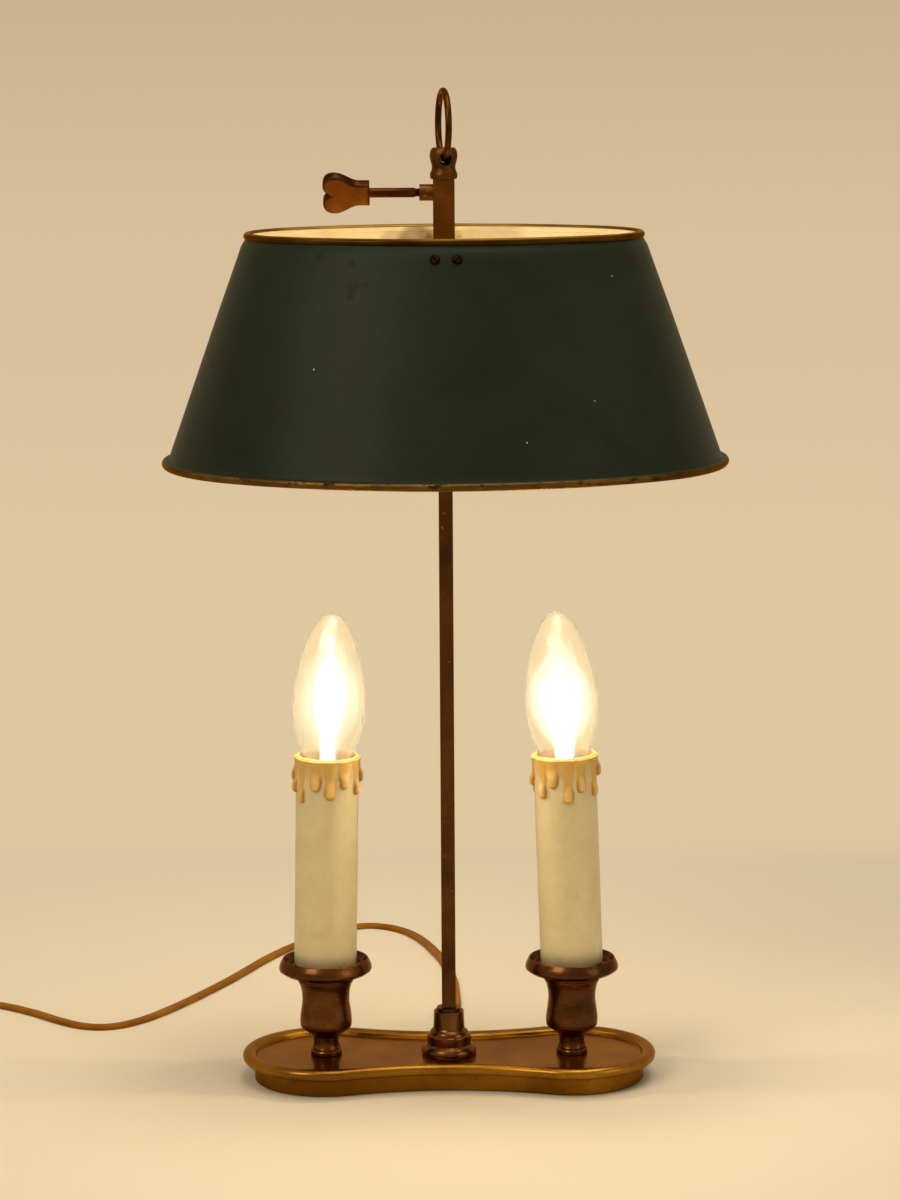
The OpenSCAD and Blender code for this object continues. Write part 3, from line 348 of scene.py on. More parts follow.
class Look(Nodes):
    """A material in the making, with short calls for the usual nodes."""

    def __init__(self, name, **values):
        self.material = bpy.data.materials.new(name)
        super().__init__(self.material, "Material Output")
        self.shader = self.tree.nodes["Principled BSDF"]
        self.place = self.node("TexCoord", "Object")
        self.set(**values)

    def set(self, **values):
        """Sets or links the shader's sockets: base_color is its Base Color, and so on."""
        names = {i.name.lower().replace(" ", "_"): i for i in self.shader.inputs}
        for key, value in values.items():
            self.feed(names[key], value)

    def finish(self, tone, rough, relief):
        """Sets colour, roughness and relief, and gives the material."""
        self.set(base_color=tone, roughness=rough, normal=relief)
        return self.material

    def stretch(self, x, y, z):
        return self.node("Mapping", "Vector", {"Vector": self.place, "Scale": (x, y, z)})

    def noise(self, scale, detail=3.0, rough=0.5, place=None, warp=0.0):
        inputs = {"Vector": place or self.place, "Scale": scale, "Detail": detail, "Roughness": rough}
        return self.node("TexNoise", "Fac", {**inputs, "Distortion": warp})

    def ramp(self, value, *stops):
        """Blends through (position, colour or number) stops."""
        made = self.tree.nodes.new("ShaderNodeValToRGB")
        steps = made.color_ramp.elements
        while len(steps) < len(stops):
            steps.new(0.5)
        for step, (position, colour) in zip(steps, stops):
            step.position = position
            step.color = as_colour(colour)
        self.feed(made.inputs["Fac"], value)
        return made.outputs["Color"]

    def mix(self, share, first, second):
        return self.node("Mix", 2, {0: share, 6: first, 7: second}, data_type="RGBA")

    def spread(self, value, low, high):
        """A 0-1 value spread between two numbers."""
        return self.node("MapRange", "Result", {"Value": value, "To Min": low, "To Max": high})

    def rise(self, value, start, end):
        """0 before start, 1 past end and smooth between them. The end may be the smaller one."""
        inputs = {"Value": value, "From Min": start, "From Max": end}
        return self.node("MapRange", "Result", inputs, interpolation_type="SMOOTHSTEP")

    def attribute(self, name):
        return self.node("Attribute", "Fac", attribute_name=name)

    def spot(self, place, radius):
        """1 near a place on the piece, and 0 beyond a radius from it."""
        ends = {0: self.place, 1: Vector(place) * MM}
        apart = self.node("VectorMath", "Value", ends, operation="DISTANCE")
        return self.rise(apart, radius * MM, 0.5 * radius * MM)

    def band(self, place, across, half):
        """1 within half a width of a plane through a place, and 0 beyond it."""
        across = Vector(across).normalized()
        along = self.node("VectorMath", "Value", {0: self.place, 1: across}, operation="DOT_PRODUCT")
        off = self.math("SUBTRACT", along, Vector(place).dot(across) * MM)
        return self.math("LESS_THAN", self.math("ABSOLUTE", off), half * MM)

    def bump(self, height, depth, before=None):
        """Relief of a depth, on top of another relief."""
        inputs = {"Distance": depth * MM, "Height": height}
        if before is not None:
            inputs["Normal"] = before
        return self.node("Bump", "Normal", inputs)


WARM_EDGE = (236, 196, 140)  # tint of metal seen at a low angle
BARE_BRASS = (176, 128, 66)


def patina(name, dark, mid, light, roughness, cloud=38, coat=0.12, worn=0.0):
    """Aged brass: clouds of tone, darker specks, fine scratches and a lacquer's sheen. It gets
    painted shade where a piece's attribute for it says so."""
    look = Look(name, metallic=1.0, specular_tint=WARM_EDGE, coat_weight=coat, coat_roughness=0.06)
    clouds = look.noise(cloud, detail=6, rough=0.62, warp=0.6)
    tone = look.ramp(clouds, (0.3, dark), (0.52, mid), (0.74, light))
    specks = look.ramp(look.noise(620), (0.6, 0.0), (0.72, 0.65))
    tone = look.mix(specks, tone, dark)
    if worn:
        edge = 0.66 - 0.1 * worn
        bare = look.ramp(look.noise(330, detail=7, rough=0.7), (edge, 0.0), (edge + 0.04, 0.8))
        tone = look.mix(bare, tone, BARE_BRASS)
    # Painted shade where the piece's attribute asks for it: the key's rounded edge and its shank
    tone = look.mix(look.attribute("tarnish"), tone, shaded(dark, 0.4))
    scratches = look.noise(150, detail=5, place=look.stretch(1, 1, 14))
    rough = look.spread(look.mix(0.45, clouds, scratches), roughness - 0.1, roughness + 0.16)
    fine = look.bump(look.noise(1400, detail=2), 0.012)
    return look.finish(tone, rough, look.bump(look.noise(70, detail=2), 0.1, fine))


# Marks on the front of the shade's paint: each is a place and a radius, in millimetres
SCUFFS = [((-54.9, -47.9, 389.5), 3.4), ((-40.6, -54.6, 386.7), 2), ((-39.7, -58.6, 376.7), 4.2),
          ((-34.8, -59.8, 377.5), 2), ((-41.5, -59.7, 372.3), 2.6)]
FLECKS = [((-57.6, -65.5, 341.1), 0.5), ((35.7, -84.2, 310.3), 0.45), ((74.6, -40.6, 379.5), 0.4),
          ((65.9, -67.3, 326.7), 0.35)]


def shade_paint():
    """Dark green satin paint on sheet metal: faintly mottled, with rubbed spots and flecks."""
    look = Look("shade paint", specular_ior_level=0.15)
    clouds = look.noise(16, detail=6, rough=0.6, warp=0.8)
    tone = look.ramp(clouds, (0.3, (13, 21, 8)), (0.52, (18, 28, 12)), (0.75, (25, 35, 18)))
    grain = look.noise(900, rough=0.7)
    tone = look.mix(look.ramp(grain, (0.45, 0.0), (0.8, 0.3)), tone, (42, 50, 30))
    rubbed = look.ramp(look.noise(55, detail=8, rough=0.75), (0.66, 0.0), (0.74, 0.55))
    tone = look.mix(rubbed, tone, (16, 15, 11))
    ragged = look.noise(420, detail=5, rough=0.7)
    for place, radius in SCUFFS:
        worn = look.times(look.spot(place, radius), look.ramp(ragged, (0.42, 0.0), (0.5, 0.9)))
        tone = look.mix(worn, tone, (4, 4, 3))
    for place, radius in FLECKS:
        tone = look.mix(look.spot(place, radius), tone, (170, 176, 166))
    rough = look.spread(look.mix(0.4, clouds, grain), 0.38, 0.56)
    fine = look.bump(look.noise(1300), 0.02)
    return look.finish(tone, rough, look.bump(look.noise(22), 0.5, fine))


# Painted shadows of the tube, brown on the lining behind it: each is a place, a radius and a strength
PAINTED_TUBE_SHADOWS = [((-13, 58, 391), 11, 0.75), ((-24, 57, 389), 9, 0.35), ((24, 57, 391), 18, 0.3)]


def shade_lining():
    """Cream paint inside the shade, with the tube's shadows painted on it in brown behind the tube."""
    look = Look("shade lining")
    stain = look.noise(30, detail=6, rough=0.6)
    tone = look.ramp(stain, (0.3, (236, 214, 160)), (0.7, (250, 238, 200)))
    # Painted shadow of the tube on the lining
    for place, radius, share in PAINTED_TUBE_SHADOWS:
        tone = look.mix(look.times(look.spot(place, radius), share), tone, (120, 84, 44))
    return look.finish(tone, 0.55, look.bump(look.noise(500), 0.03))


def bead_paint(name, chips, dark, mid, light):
    """Gold paint on a rolled edge, chipped down to dark metal. chips is the share of chips."""
    look = Look(name, specular_ior_level=0.15, specular_tint=WARM_EDGE)
    along = look.stretch(0.45, 0.7, 1)
    clouds = look.noise(60, detail=6, rough=0.65, place=along)
    tone = look.ramp(clouds, (0.3, dark), (0.5, mid), (0.75, light))
    edge = 0.72 - chips * 0.22
    lost = look.ramp(look.noise(330, detail=9, rough=0.78, place=along), (edge, 0.0), (edge + 0.03, 1.0))
    look.set(metallic=look.spread(lost, 1.0, 0.1))
    rough = look.spread(look.mix(lost, clouds, 1.0), 0.24, 0.6)
    fine = look.bump(look.noise(1200), 0.02)
    relief = look.bump(look.math("SUBTRACT", 1.0, lost), 0.06, fine)
    return look.finish(look.mix(lost, tone, (46, 22, 8)), rough, relief)


def wax():
    """Ivory candle with ochre runs of wax: mottled and darker at the foot, with painted shade on the
    sides of the drops' ends, painted highlights on their crests, a darker lip and painted shade down the
    bore.
    """
    look = Look("candle wax", subsurface_weight=0.18, subsurface_scale=0.003, specular_ior_level=0.4)
    look.set(subsurface_radius=(1.0, 0.6, 0.3))
    mottle = look.noise(75, detail=7, rough=0.66, warp=0.5)
    body = look.ramp(mottle, (0.25, (205, 186, 137)), (0.5, (213, 196, 150)), (0.8, (220, 207, 165)))
    foot = look.ramp(look.attribute("drop"), (0.9, 0.0), (1.0, 0.3))
    body = look.mix(foot, body, (160, 132, 84))
    stain = look.ramp(look.noise(36, detail=4), (0.55, 0.0), (0.75, 0.3))
    body = look.mix(stain, body, (190, 162, 104))
    ochre = look.ramp(mottle, (0.3, (196, 152, 66)), (0.7, (214, 178, 94)))
    run = look.attribute("run")
    crest, bead = look.attribute("crest"), look.attribute("bead")
    # Painted shade on the sides of the runs' thick ends, and a painted highlight along their crests
    side = look.ramp(crest, (0.25, 1.0), (0.85, 0.0))
    ochre = look.mix(look.times(side, look.spread(bead, 0.12, 0.95)), ochre, (154, 88, 22))
    ridge = look.times(look.ramp(crest, (0.75, 0.0), (1.0, 0.65)), bead)
    ochre = look.mix(ridge, ochre, (232, 192, 120))
    tone = look.mix(look.ramp(run, (0.2, 0.0), (0.5, 1.0)), body, ochre)
    # Darker on the top lip, and painted shade down the inside of the bore
    tone = look.mix(look.attribute("rim"), tone, (78, 60, 30))
    relief = look.bump(mottle, 0.12, look.bump(look.noise(900), 0.02))
    return look.finish(tone, look.spread(mottle, 0.36, 0.56), relief)


def clear_glass(name, roughness):
    """Bulb glass. Rays from lamps pass straight through it."""
    look = Look(name, transmission_weight=1.0, roughness=roughness, ior=1.46)
    look.set(base_color=(255, 250, 236), emission_color=(240, 238, 216), emission_strength=0.04)
    shadow_ray = look.node("LightPath", "Is Shadow Ray")
    look.cover(shadow_ray, look.shader.outputs[0], look.node("BsdfTransparent", 0))
    return look.material


def glowing(name, colour, strength, veil=1.0):
    """Light-giving material. veil is the share of what lies behind that it covers."""
    look = Look(name, emission_color=colour, emission_strength=strength, roughness=0.6, alpha=veil)
    tone = look.ramp(look.noise(60), (0.2, 0.0), (0.9, 0.03))
    look.set(specular_ior_level=0.0, base_color=tone)
    return look.material


def moulded(name, colour, roughness, fleck=0.25, coat=0.0):
    """Moulded plastic: faint clouds, fine grain, rubbed patches."""
    look = Look(name, coat_weight=coat, coat_roughness=0.2)
    clouds = look.noise(90, detail=5, rough=0.6)
    darker, paler = shaded(colour, 1 - fleck), shaded(colour, 1 + fleck, 0.01 * fleck)
    tone = look.ramp(clouds, (0.3, darker), (0.52, colour), (0.75, paler))
    rough = look.spread(clouds, roughness - 0.08, roughness + 0.12)
    return look.finish(tone, rough, look.bump(look.noise(1500, detail=2), 0.015))


def metal(name, dark, light, roughness, turned=False):
    """Plain metal with brush marks and some tarnish."""
    look = Look(name, metallic=1.0)
    clouds = look.noise(80, detail=6, rough=0.65)
    marks = look.noise(320, detail=4, place=look.stretch(1, 1, 9 if turned else 1))
    rough = look.spread(look.mix(0.5, clouds, marks), roughness - 0.08, roughness + 0.15)
    return look.finish(look.ramp(clouds, (0.3, dark), (0.7, light)), rough, look.bump(marks, 0.02))


# Middles of the shade's front screws, and the directions across their slots, whose shade is painted as
# dark lines
SCREW_SLOTS = [((-4, -61, 388.8), (1, 0, 1)), ((5.8, -61, 388.8), (1, 0, -1))]


def browned_screw():
    """Darkened steel, with the shade of a slot painted across each head."""
    look = Look("browned screw", metallic=1.0)
    tone = look.ramp(look.noise(300, detail=6, rough=0.65), (0.3, (26, 15, 9)), (0.7, (56, 34, 20)))
    for place, across in SCREW_SLOTS:
        # Painted shade of each slot: a dark line across the head
        slot = look.times(look.band(place, across, 0.3), look.spot(place, 7))
        tone = look.mix(slot, tone, (10, 6, 4))
    look.set(base_color=tone, roughness=0.45)
    return look.material


def felt_cloth():
    look = Look("felt", sheen_weight=0.4, sheen_roughness=0.5)
    fibres = look.noise(1500, detail=6, rough=0.75, warp=2.0)
    tone = look.ramp(fibres, (0.35, (36, 50, 34)), (0.7, (62, 80, 56)))
    return look.finish(tone, 0.95, look.bump(fibres, 0.35))


def cord_cover():
    """Amber, slightly clear cord cover, with painted shade in the groove between its two cores."""
    look = Look("cord cover", subsurface_weight=0.15, subsurface_scale=0.002, specular_ior_level=0.05)
    look.set(subsurface_radius=(1.0, 0.5, 0.15))
    clouds = look.noise(60, detail=5, rough=0.6)
    tone = look.ramp(clouds, (0.3, (116, 66, 4)), (0.55, (139, 86, 6)), (0.8, (162, 108, 18)))
    # Painted shade in the groove between the cores
    tone = look.mix(look.times(look.attribute("groove"), 0.55), tone, (72, 36, 8))
    return look.finish(tone, look.spread(clouds, 0.3, 0.5), look.bump(look.noise(700), 0.02))


# Name, darkest, middle and lightest tone, roughness
BRONZE = patina("bronze patina", (57, 31, 6), (85, 49, 11), (115, 71, 20), 0.26, coat=0.22)
COLLAR = patina("collar patina", (66, 38, 9), (108, 67, 20), (148, 100, 36), 0.22, coat=0.3)
ROD = patina("rod patina", (58, 33, 11), (84, 49, 18), (100, 62, 25), 0.4, cloud=26, worn=0.35)
TUBE = patina("tube patina", (72, 41, 11), (101, 60, 17), (120, 74, 25), 0.42, cloud=26, worn=0.15)
KNOB = patina("knob patina", (58, 33, 8), (84, 50, 14), (104, 66, 22), 0.44, cloud=60)
GILT = patina("tray brass", (102, 66, 8), (138, 94, 17), (164, 119, 32), 0.27, cloud=24, coat=0.25,
              worn=0.2)
SKIRT = patina("skirt brass", (92, 56, 5), (124, 80, 10), (150, 104, 22), 0.36, cloud=24, coat=0.08)
COPPER = patina("key copper", (60, 29, 4), (88, 46, 7), (108, 60, 13), 0.4, cloud=60, coat=0.08)
RING_COPPER = patina("ring copper", (44, 23, 4), (68, 36, 7), (104, 58, 14), 0.32, cloud=40, coat=0.05)
PAINT = shade_paint()
LINING = shade_lining()
# Lit and shaded copies of the upper bead's gold: the darker is painted shade on its outer face, the
# lighter painted light over its top
UPPER_BEAD_SHADED = bead_paint("upper bead gold", 0.15, (44, 28, 8), (66, 44, 14), (96, 70, 28))
UPPER_BEAD_LIT = bead_paint("upper bead line", 0.25, (92, 66, 22), (124, 95, 36), (150, 120, 52))
LOW_BEAD = bead_paint("lower bead gold", 0.75, (62, 44, 16), (92, 68, 28), (128, 100, 48))
WAX = wax()
GLASS = clear_glass("bulb glass", 0.02)
HAZED = clear_glass("hazed bulb glass", 0.2)
HOT = glowing("filament light", (255, 236, 190), 30)
FLAME = glowing("bright glow", (255, 244, 214), 2.2)
HALOS = {
    "left": glowing("soft glow", (250, 244, 222), 1.12, veil=0.16),
    "right": glowing("brighter soft glow", (252, 249, 236), 1.3, veil=0.19),
}
BRASS = metal("raw brass", (150, 112, 52), (198, 160, 88), 0.3, turned=True)
STEEL = metal("zinc steel", (120, 118, 112), (176, 174, 166), 0.36)
DARK_SCREW = browned_screw()
# A dark colour painted under the upper bead's roll as its shadow
UNDER_BEAD_SHADOW = moulded("under_bead_shadow", (24, 20, 12), 0.6)
PHENOLIC = moulded("phenolic", (74, 44, 26), 0.45)
BROWN = moulded("brown plastic", (50, 31, 19), 0.34, coat=0.2)
BLOCK = moulded("block plastic", (212, 206, 188), 0.5, fleck=0.06)
TIE = moulded("tie band", (36, 34, 32), 0.5)
FELT = felt_cloth()
CORD = cord_cover()

# ---- Cord ----

# Points without a height lie on the table
FREE_ROUTE = [
    (0, 47, 4.2), (0, 52, 4.2), (0, 62, 3.6), (0.5, 74, 2.2), (1.5, 87), (2.5, 101), (3.5, 116),
    (3.5, 131), (3, 146), (2.5, 161), (1, 178), (-1, 194), (-3.5, 210), (-7, 225), (-11, 240),
    (-16, 255), (-23, 269), (-32, 279), (-43, 283.5), (-53, 280), (-62, 272), (-71, 260),
    (-80, 245.5), (-89, 229), (-97.5, 211), (-105, 192), (-113, 172), (-121.5, 153), (-131, 133),
    (-141, 114), (-151.5, 97.5), (-162, 87), (-172, 83.5), (-182.5, 86.5), (-194, 96),
    (-206, 108.5), (-218, 119), (-229, 126.5), (-239, 131.6, 2.6), (-248, 134.2, 5.4),
    (-256, 135, SWITCH_Z), (-262, 135, SWITCH_Z),
]
LINK_ROUTE = [
    (-318, 135, SWITCH_Z), (-322.5, 135, SWITCH_Z), (-331, 133.3, 6.2), (-338, 128.6, 5),
    (-342.8, 121.5, 3.8), (-344.5, 113, 2.9), (-344.5, 103, 2.4), (-344.5, 91, 2.4), (-344.5, 79, 2.4),
]
LEAD_ROUTE = [
    (-344.5, 69, 5.5), (-344.5, 64, 5.5), (-344.5, 54, 4.9), (-344.5, 44, 5.3), (-344.5, 36, 6.4),
    (-344.5, 31, 6.5), (-344.5, 26, 6.5),
]
COIL_X, COIL_Y, COIL_Z = -308, 74, 2.4
COIL_IN_R = 20
COIL_TURNS = 6
COIL_PITCH = CORD_W + 0.5
COIL_LAYER = CORD_T + 0.5
COIL_STEPS = 48  # points in each turn


def coil_point(turn):
    """Where the coil is after so many turns: inwards on the table, then outwards on top."""
    from_middle = turn - COIL_TURNS / 2
    r = COIL_IN_R + COIL_PITCH * abs(from_middle)
    climb = smoothstep(0, 1, 2 * from_middle + 0.5)
    a = pi + 2 * pi * turn
    return Vector((COIL_X + r * cos(a), COIL_Y + r * sin(a), COIL_Z + COIL_LAYER * climb))


def smooth_route(points, steps=4):
    """A smooth curve through a route's points, ends included and no lower than the table."""
    points = [Vector(p if len(p) == 3 else (*p, LIE)) for p in points]
    made = []
    for i in range(len(points) - 1):
        a = points[max(i - 1, 0)]
        b, c = points[i], points[i + 1]
        d = points[min(i + 2, len(points) - 1)]
        for k in range(steps):
            t = k / steps
            made.append(0.5 * (2 * b + (c - a) * t + (2 * a - 5 * b + 4 * c - d) * t * t
                               + (3 * b - a - 3 * c + d) * t**3))
    made.append(points[-1])
    return [Vector((p.x, p.y, max(p.z, LIE))) for p in made]


def cord_line():
    """The whole cord's centreline, from the strain relief to the plug."""
    coil = [coil_point(i / COIL_STEPS) for i in range(COIL_TURNS * COIL_STEPS + 1)]
    return smooth_route(FREE_ROUTE) + smooth_route(LINK_ROUTE) + coil + smooth_route(LEAD_ROUTE)


def cord_section():
    """Two round cores side by side. Each point's last number is its depth in the groove."""
    core = CORD_T / 2
    centre = CORD_W / 2 - core
    points = arc_points((centre, 0), core, -105, 105, 10) + arc_points((-centre, 0), core, 75, 285, 10)
    return [(x, y, 1 - smoothstep(0.2, 1.1, abs(x))) for x, y in points]


def tube(line, section):
    """A tube along a line, its section flat side down."""
    rings = []
    last = len(line) - 1
    for i, p in enumerate(line):
        ahead = (line[min(i + 1, last)] - line[max(i - 1, 0)]).normalized()
        side = Vector((0, 0, 1)).cross(ahead).normalized()
        up = ahead.cross(side)
        rings.append([p + side * q[0] + up * q[1] for q in section])
    return skin(rings, caps=True)


def cord_piece(name, line, stands_for):
    section = cord_section()
    piece = make_piece(name, tube(line, section), [CORD], "stand", stands_for, sharp=80)
    point_values(piece, "groove", [q[2] for q in section] * len(line))
    return piece


def make_cord():
    line = cord_line()
    piece = cord_piece("flat_cord", line, ["cord_free", "cord_link", "cord_coil", "cord_lead"])


make_cord()

# ---- Base ----


def make_tray():
    """The tray in one skin: rolled rim, hollow fall to the floor, floor and underside."""
    rim_top = FLOOR_Z + RIM_RISE
    rim_mid = rim_top - RIM_R
    inner = -RIM_W
    profile = arc_points((-RIM_R, rim_mid), RIM_R, -150, 98, 30)
    profile += bezier((-RIM_R - 0.5, rim_top), (inner + 1, rim_top - 0.2), (inner, FLOOR_Z + 1.2),
                      (inner - 0.1, FLOOR_Z + 0.5), 10)
    profile += bezier((inner - 0.1, FLOOR_Z + 0.5), (inner - 0.1, FLOOR_Z + 0.1),
                      (inner - 0.4, FLOOR_Z), (inner - 1, FLOOR_Z), 5)
    profile += [(inner - 1, FLOOR_Z)]
    underside = [(inner - 1, FLOOR_LOW), (-2 * RIM_R, FLOOR_LOW)]
    shape = skin(rings_round(tray_stations(), underside + profile), caps=True)
    make_piece("tray", shape, [GILT], "stand", ["base_tray"], sharp=50)


def make_skirt():
    out, inside = -SKIRT_INSET, -SKIRT_INSET - SKIRT_T
    profile = [(out, SKIRT_LIFT + 0.3), (out, FLOOR_LOW), (inside, FLOOR_LOW), (inside, SKIRT_LIFT),
               (out - 0.3, SKIRT_LIFT)]
    shape = skin(rings_round(tray_stations(), profile), closed=True)
    make_piece("skirt", shape, [SKIRT], "stand", ["base_skirt"])


def make_felt():
    """The pad under the base: a soft rounded edge and a slightly uneven face."""
    edge = SKIRT_INSET + SKIRT_T + 0.6
    profile = [(-edge - 6, 0), (-edge - 0.5, 0), (-edge - 0.1, 0.25), (-edge, 0.7), (-edge - 0.2, 1.2),
               (-edge - 0.7, FELT_T), (-edge - 6, FELT_T)]
    shape = skin(rings_round(tray_stations(), profile), caps=True)
    make_piece("felt_sole", shape, [FELT], "stand", ["felt_pad"])


make_tray()
make_skirt()
make_felt()

# ---- Shade ----


def wall_out(depth):
    """How far outside the upper edge the wall's outer face lies, at a depth below it."""
    return SHOULDER_OUT + (depth - SHOULDER_H) * tan(radians(SHADE_SLOPE))


def make_shade():
    """Wall with a rounded shoulder and a small flare, hammered very slightly uneven."""
    low = SHADE_H - FLARE_H
    depths = [SHOULDER_H + (low - SHOULDER_H) * i / 24 for i in range(25)]
    slope = [(wall_out(depth), -depth) for depth in depths]
    outer = bezier((0, 0), (0.3, -1), (1.2, -2.6), slope[0], 6) + slope
    outer += bezier(slope[-1], (wall_out(low) + 0.7, -low - 2), (SHADE_SPREAD - 1.6, 1.6 - SHADE_H),
                    (SHADE_SPREAD, -SHADE_H), 7)[1:] + [(SHADE_SPREAD, -SHADE_H)]
    inner = [(out - SHEET_T, z) for out, z in reversed(outer)]
    rings = []
    for out, z in outer + inner:
        calm = smoothstep(0, 14, -z) * smoothstep(0, 14, SHADE_H + z)
        ring = []
        for p, n in shade_stations():
            at = p + out * n
            wave = 0.35 * calm * noise.noise(Vector((at.x, at.y, z)) / 42)
            ring.append(Vector((*(at + wave * n), SHADE_TOP + z)))
        rings.append(ring)
    piece = make_piece("shade_wall", skin(rings, closed=True), [PAINT, LINING], "shade_slider",
                       ["shade_body"])
    line_inside(piece)


def make_bead(name, out, z, radius, coats, node, seed):
    """A rolled edge, knocked a little out of round. Each coat after the first is a material and
    the angles round the roll that it covers, from the outside up and over."""
    rings = []
    stops = shade_stations()
    steps = 24
    for i in range(steps):
        a = 2 * pi * i / steps
        ring = []
        for p, n in stops:
            dent = 1 - 0.07 * (0.5 + 0.5 * noise.noise(Vector((p.x / 9, p.y / 9, seed + i / 14))))
            at = p + (out + radius * dent * cos(a)) * n
            ring.append(Vector((*at, z + radius * dent * sin(a))))
        rings.append(ring)
    materials = [coats[0]] + [coat[0] for coat in coats[1:]]
    piece = make_piece(name, skin(rings, closed=True), materials, "shade_slider", [node],
                       sharp=80)
    for i, face in enumerate(piece.data.polygons):
        a = 360 * (i // len(stops) + 0.5) / steps
        for k, (_, start, end) in enumerate(coats[1:]):
            if start < a < end:
                face.material_index = k + 1


make_shade()
# Upper bead: gold with painted shade outside and painted light over the top, cream inside, and a painted
# shadow underneath
make_bead("shade_bead_upper", -SHEET_T / 2, SHADE_TOP, TOP_BEAD_R,
          [UPPER_BEAD_SHADED, (UPPER_BEAD_LIT, 45, 160), (LINING, 160, 255), (UNDER_BEAD_SHADOW, 255, 305)], "shade_top_bead", 3)
make_bead("shade_bead_lower", SHADE_SPREAD - SHEET_T / 2, SHADE_TOP - SHADE_H, LOW_BEAD_R,
          [LOW_BEAD, (PAINT, 40, 125), (LINING, 125, 250)], "shade_bottom_bead", 7)

# ---- Key ----


def heart_half():
    """Upper half of the heart's outline, from its square neck round to the notch."""
    half = HEART_H / 2
    neck_h = 0.28 * HEART_H
    neck_l = 0.24 * HEART_LEN

    def at(along, up):
        """A place from shares of the length and of the half height."""
        return (-along * HEART_LEN, up * half)

    upper = [(-neck_l * i / 4, neck_h) for i in range(4)]
    upper += bezier((-neck_l, neck_h), at(0.42, 0.6), at(0.54, 1), at(0.76, 1), 18)
    upper += bezier(at(0.76, 1), at(0.92, 1), at(1, 0.78), at(1, 0.48), 16)
    upper += bezier(at(1, 0.48), at(1, 0.28), at(0.97, 0.14), at(HEART_NOTCH, 0), 8)
    return upper


def inset_outline(outline, amount):
    """The outline drawn in by an amount along its corners' normals."""
    made = []
    count = len(outline)
    for i in range(count):
        corner = Vector(outline[i])
        before = (corner - Vector(outline[i - 1])).normalized()
        after = (Vector(outline[(i + 1) % count]) - corner).normalized()
        first, second = Vector((-before.y, before.x)), Vector((-after.y, after.x))
        made.append(tuple(corner + amount * (first + second) / max(1 + first.dot(second), 0.6)))
    return made


def make_key():
    """The heart, with fully rounded edges, its shank and threaded neck."""
    upper = heart_half()
    outline = upper + [(-HEART_NOTCH * HEART_LEN, 0)] + [(x, -y) for x, y in reversed(upper)]
    place = Matrix.Translation((0, 0, KEY_Z)) @ Matrix.Rotation(radians(KEY_TILT), 4, "X")
    rings, tarnish = [], []
    for side in (-1, 1):
        for i in range(7)[::-side]:
            a = radians(90 * i / 6)
            y = side * (HEART_T / 2 - HEART_EDGE + HEART_EDGE * cos(a))
            edge = inset_outline(outline, HEART_EDGE * (1 - sin(a)))
            rings.append([place @ Vector((HEART_X + x, y, z)) for x, z in edge])
            # Painted shade on the rounded edge: none on the faces, most round the outline
            tarnish += [0.8 * sin(a)] * len(outline)
    heart = skin(rings, caps=True)
    along = place @ Matrix.Translation((HEART_X, 0, 0)) @ Matrix.Rotation(radians(90), 4, "Y")
    shank = [(0, -2), (SHANK_R, -2), (SHANK_R, SHANK_LEN - 0.5), (SHANK_R - 0.4, SHANK_LEN - 0.1)]
    for i in range(24):
        shank.append((1.95 if i % 2 else 1.65, SHANK_LEN + 0.3 + THREAD_STEP * i))
    shank += [(1.9, SHANK_LEN + 9), (1.9, KEY_END), (0, KEY_END)]
    turned = lathe(shank, 48, along)
    piece = make_piece("key", join_shapes(heart, turned), [COPPER], "key", ["clamp_key"],
                       sharp=55, merge=False)
    # The shank has some painted shade all over
    point_values(piece, "tarnish", tarnish + [0.35] * len(turned[0]))


make_key()

# ---- Candles ----

# Wax runs: [turn from the front in degrees, length, width]
RUNS = {
    "left": [
        (-150, 18, 4), (-120, 14, 4.4), (-95, 12, 4), (-76, 17, 3.8), (-51, 21, 4.2), (-20, 14, 4.6),
        (7, 18, 4.8), (34, 13, 4.4), (66, 17, 4.2), (92, 12, 4), (125, 19, 4.4), (160, 14, 4.6),
    ],
    "right": [
        (-155, 15, 4.4), (-118, 20, 4.2), (-84, 14, 4), (-47, 19, 4.4), (-25, 13, 4.6), (3, 21, 4.6),
        (28, 16, 4.2), (60, 19, 4.2), (86, 10, 4), (120, 16, 4.4), (158, 19, 4.6),
    ],
}
LIP = 1.6  # depth of the wax lip round the candle's top
WAXED = 26  # depth of the finely divided part


def wax_at(turn, drop, runs):
    """How far wax stands out at a turn and a drop below the top, its share of the ridge's height
    there, and how much of it is a run's thick end."""
    uneven = 0.8 * noise.noise(Vector((turn / 25, 0, 0)))
    swell = 0.75 * (1 - smoothstep(LIP * 0.5, LIP * 1.8, drop + uneven))
    total = swell**4
    crest, bead = swell / 0.75, 0
    for middle, length, width in runs:
        length = 0.9 * length
        aside = SLEEVE_R * radians((turn - middle + 180) % 360 - 180)
        if abs(aside) > width:
            continue
        aside += 0.3 * noise.noise(Vector((middle, drop / 7, 0)))
        fat = smoothstep(length - 1.5 * width, length - 0.4 * width, drop)
        half = width * (0.43 + 0.42 * smoothstep(13, 0, drop) + 0.13 * fat)
        past = max(drop - length, 0) / (0.52 * width)
        if past >= 1:
            continue
        half *= sqrt(1 - past * past)
        if abs(aside) >= half:
            continue
        rise = sqrt(1 - (aside / half) ** 2) * sqrt(1 - past * past)
        total += ((0.8 + 1.4 * fat) * rise) ** 4
        crest, bead = max(crest, rise), max(bead, fat)
    return total**0.25, crest, bead


def candle_place(side):
    lean = radians(LEAN[side])
    lift = SLEEVE_R * sin(abs(lean))
    return Matrix.Translation((SIDES[side] * CANDLE_X, 0, PAN_Z + lift)) @ Matrix.Rotation(lean, 4, "Y")


